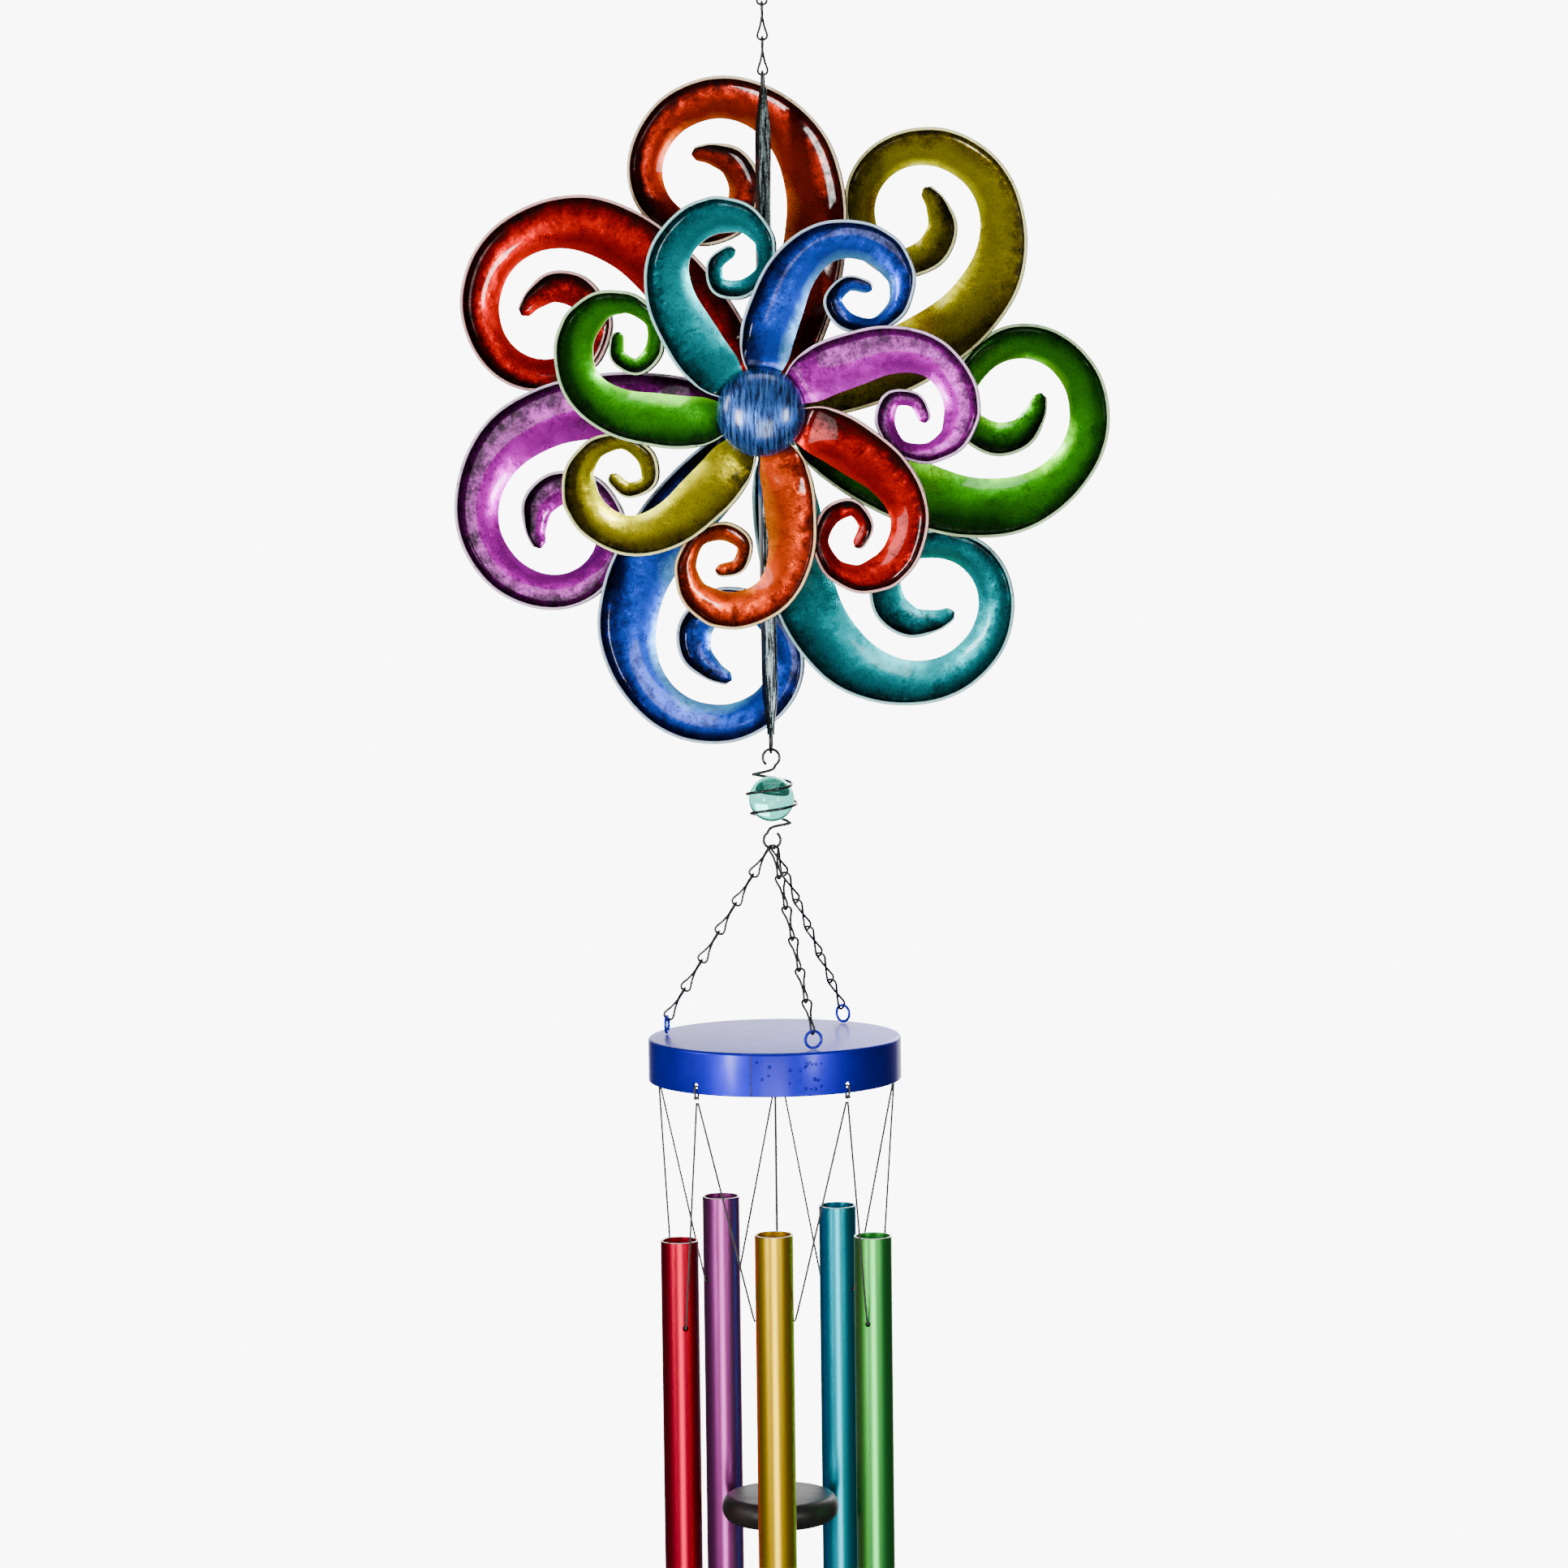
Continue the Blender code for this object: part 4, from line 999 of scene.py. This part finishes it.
def make_tube_cord(i, colour):
    """Down from one knot, through the tube's two holes and up to the next knot."""
    centre = middle(f"tube_{colour}")
    side = outwards(centre)[1]
    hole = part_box(f"tube_{colour}")[1].z - TUBE_HOLE_DOWN
    axis = Vector((centre.x, centre.y, 0))
    first, second = middle(f"rim_knot_{i + 1}"), middle(f"rim_knot_{(i + 1) % len(TUBES) + 1}")
    half = []
    for knot, sign in ((first, -1), (second, 1)):
        corner = axis + side * sign * 10.5 * MM + lift(hole + 1.1 * MM)
        start = knot + (corner - knot).normalized() * 2.5 * MM
        half.append([
            start, start.lerp(corner, 0.3), start.lerp(corner, 0.6), start.lerp(corner, 0.9),
            axis + side * sign * 10.2 * MM + lift(hole + 0.45 * MM),
            axis + side * sign * 9.4 * MM + lift(hole), axis + side * sign * 7.5 * MM + lift(hole),
        ])
    path = smooth_path(half[0] + half[1][::-1], 150)
    cord = sweep(f"tube_string_{colour}", path, STRING, 8)
    put(cord, cord_finish, "black_cord", f"chime_{colour}", f"tube_cord_{colour}")


for i, colour in enumerate(TUBES):
    make_tube_cord(i, colour)


def trefoil(centre, side, out, scale):
    """The line of a trefoil knot about a centre, between two level directions."""
    points = []
    for t in np.linspace(0, 2 * math.pi, 61)[:-1]:
        a, b = math.sin(t) + 2 * math.sin(2 * t), math.cos(t) - 2 * math.cos(2 * t)
        points.append(centre + (side * a + out * b + lift(-math.sin(3 * t))) * scale)
    return points


def make_rim_knots():
    """A small trefoil of cord at each knot, and a loop from it up through the rim's hole."""
    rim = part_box("drum")[0].z
    for i in range(len(TUBES)):
        node = f"rim_knot_{i + 1}"
        knot = middle(node)
        out, side = outwards(knot)
        tie = sweep("tie", trefoil(knot, side, out * 0.6, 0.45 * MM), STRING * 0.95, 8, True)
        hole = rim + RIM_HOLE_UP
        radius = Vector((knot.x, knot.y, 0)).length
        route = (
            (1.2 * MM, knot.z + 0.8 * MM), (1.6 * MM, rim + 1.5 * MM), (1.1 * MM, hole - 0.4 * MM),
            (0, hole - 0.2 * MM), (-1.3 * MM, hole - 0.5 * MM), (-1.7 * MM, rim + 1.2 * MM),
            (-1.0 * MM, knot.z + 0.6 * MM),
        )
        path = smooth_path([out * (radius + reach) + lift(z) for reach, z in route], 44)
        knotted = join_pieces(f"rim_tie_{i + 1}", [tie, sweep("loop", path, STRING, 8)])
        put(knotted, cord_finish, "black_cord", "chime_drum", node)


make_rim_knots()


def make_striker():
    """The clapper on its cord: a disc with a rounded edge and a bore, held by a stop knot."""
    low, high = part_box("striker_cord")
    path = [(0, 0, z) for z in np.linspace(high.z, low.z, 40)]
    cord = sweep("striker_string", path, STRIKER_STRING, 10)
    put(cord, cord_finish, "black_cord", "striker", "striker_cord")
    low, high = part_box("clapper")
    half, radius = (high.z - low.z) / 2, (high.x - low.x) / 2
    centre, nose, bore = (low.z + high.z) / 2, 5.2 * MM, 1.2 * MM
    profile = [(bore, centre - half)]
    for a in np.linspace(-math.pi / 2, math.pi / 2, 22):
        profile.append((radius - nose + nose * math.cos(a), centre + half * math.sin(a)))
    profile.append((bore, centre + half))
    disc = put(lathe("clapper_disc", profile, 96), clapper_finish, "clapper_black", "striker", "clapper")
    points = trefoil(middle("clapper_knot"), Vector((1, 0, 0)), Vector((0, 1, 0)), 0.5 * MM)
    stop = sweep("stop_knot", points, 1.1 * MM, 8, True)
    put(stop, cord_finish, "black_cord", "striker", "clapper_knot")


make_striker()

# ---------------------------------------------------------------- carried-over nodes

for node, finish in {
    "axle": steel, "rear_hub_disc": steel, "front_hub_disc": steel, "rear_end_nut": steel,
    "front_end_nut": steel, "rear_washer": steel, "front_washer": steel, "rear_bush": brass,
    "front_bush": brass, "striker_eye": chain_wire,
}.items():
    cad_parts[node].data.materials.clear()
    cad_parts[node].data.materials.append(finish)


# ---------------------------------------------------------------- stage

# What lights the object: a bright patch straight behind it, and a room that is dim below and brighter above.
BACK_GLOW = 3.0
ROOM = (0.06, 0.2)
# How bright the same backdrop is to the eye, and through glass.
BACKDROP = 9.0
THROUGH_GLASS = 2.4
FLOOR_DROP = 1.3


def make_stage():
    """A white floor and a white world. The object hangs in the air, so neither takes a shadow."""
    floor = bpy.data.meshes.new("floor")
    reach, depth = 3.2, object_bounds()[0][2] - FLOOR_DROP
    corners = [(x * reach, y * reach, depth) for x, y in ((-1, -1), (1, -1), (1, 1), (-1, 1))]
    floor.from_pydata(corners, [], [(0, 1, 2, 3)])
    ground = add_object("floor", floor)
    f = Finish("floor_pale")
    f.colour(f.mix(f.noise(f.place(), 3, 2, 0.5), (0.86, 0.86, 0.86), (0.9, 0.9, 0.9)))
    f.set(Roughness=0.9, Emission_Color=(1, 1, 1, 1), Emission_Strength=BACKDROP)
    floor.materials.append(f.material)
    ground.visible_diffuse = ground.visible_glossy = ground.visible_transmission = False
    world = bpy.data.worlds.new("studio")
    bpy.context.scene.world = world
    world.use_nodes = True
    tree = world.node_tree
    tree.nodes.clear()

    def node(kind, **settings):
        made = tree.nodes.new(kind)
        for key, value in settings.items():
            setattr(made, key, value)
        return made

    def backdrop(strength):
        made = node("ShaderNodeBackground")
        made.inputs["Strength"].default_value = strength
        made.inputs["Color"].default_value = (1, 1, 1, 1)
        return made

    def link(giver, out, taker, into):
        tree.links.new(giver.outputs[out], taker.inputs[into])

    out, path = node("ShaderNodeOutputWorld"), node("ShaderNodeLightPath")
    coords, split = node("ShaderNodeTexCoord"), node("ShaderNodeSeparateXYZ")
    behind, above = node("ShaderNodeMapRange", interpolation_type="SMOOTHSTEP"), node("ShaderNodeMapRange")
    total = node("ShaderNodeMath", operation="ADD")
    for made, *ends in ((behind, 0.86, 0.97, 0.0, BACK_GLOW), (above, -0.2, 1.0, *ROOM)):
        for socket, value in zip(("From Min", "From Max", "To Min", "To Max"), ends):
            made.inputs[socket].default_value = value
    lit, seen, through = backdrop(1.0), backdrop(BACKDROP), backdrop(THROUGH_GLASS)
    first, second = node("ShaderNodeMixShader"), node("ShaderNodeMixShader")
    link(coords, "Generated", split, "Vector")
    link(split, "Y", behind, "Value")
    link(split, "Z", above, "Value")
    link(behind, "Result", total, 0)
    link(above, "Result", total, 1)
    link(total, "Value", lit, "Strength")
    link(path, "Is Transmission Ray", first, "Fac")
    link(lit, "Background", first, 1)
    link(through, "Background", first, 2)
    link(path, "Is Camera Ray", second, "Fac")
    link(first, "Shader", second, 1)
    link(seen, "Background", second, 2)
    link(second, "Shader", out, "Surface")


def area_light(name, at, aim, size_xy, power):
    data = bpy.data.lights.new(name, "AREA")
    data.shape = "RECTANGLE"
    data.size, data.size_y = size_xy
    data.energy = power
    lamp = add_object(name, data)
    lamp.location = at
    lamp.visible_camera = False
    lamp.rotation_euler = (Vector(aim) - Vector(at)).to_track_quat("-Z", "Y").to_euler()


make_stage()
hub_level = middle("axle").z
area_light("left_box", (-1.05, -1.5, hub_level - 0.22), (0, 0, hub_level - 0.15), (0.22, 0.5), 27)
area_light("right_box", (1.15, -1.45, hub_level - 0.16), (0, 0, hub_level - 0.15), (0.22, 0.5), 15)
area_light("low_front", (0.12, -1.6, hub_level - 0.78), (0, 0, hub_level - 0.6), (0.7, 0.9), 14)
area_light("far_left", (-2.2, -0.9, hub_level + 0.6), (0, 0, hub_level), (0.5, 0.9), 20)
area_light("top_soft", (0, -0.3, hub_level + 1.7), (0, 0, hub_level), (1.4, 1.0), 10)
area_light("behind", (0.7, 2.3, hub_level + 0.7), (0, 0, hub_level - 0.3), (1.4, 1.4), 45)


def make_camera():
    """Level with the rotors and a little to the right, looking slightly down at the middle of the view."""
    distance, turn, roll, view = 2.05, math.radians(4.6), math.radians(-0.7), 0.784
    side = Vector((math.cos(turn), math.sin(turn), 0))
    away = Vector((math.sin(turn), -math.cos(turn), 0))
    aim = Vector((0, 0, -0.453)) + side * 0.0063
    data = bpy.data.cameras.new("camera")
    camera = add_object("camera", data)
    camera.location = Vector((aim.x, aim.y, -0.29)) + away * distance
    data.sensor_width = 36
    data.lens = 36 * (aim - camera.location).length / view
    look = (aim - camera.location).to_track_quat("-Z", "Y").to_matrix()
    camera.rotation_euler = (look @ Matrix.Rotation(roll, 3, "Z")).to_euler()
    bpy.context.scene.camera = camera


make_camera()
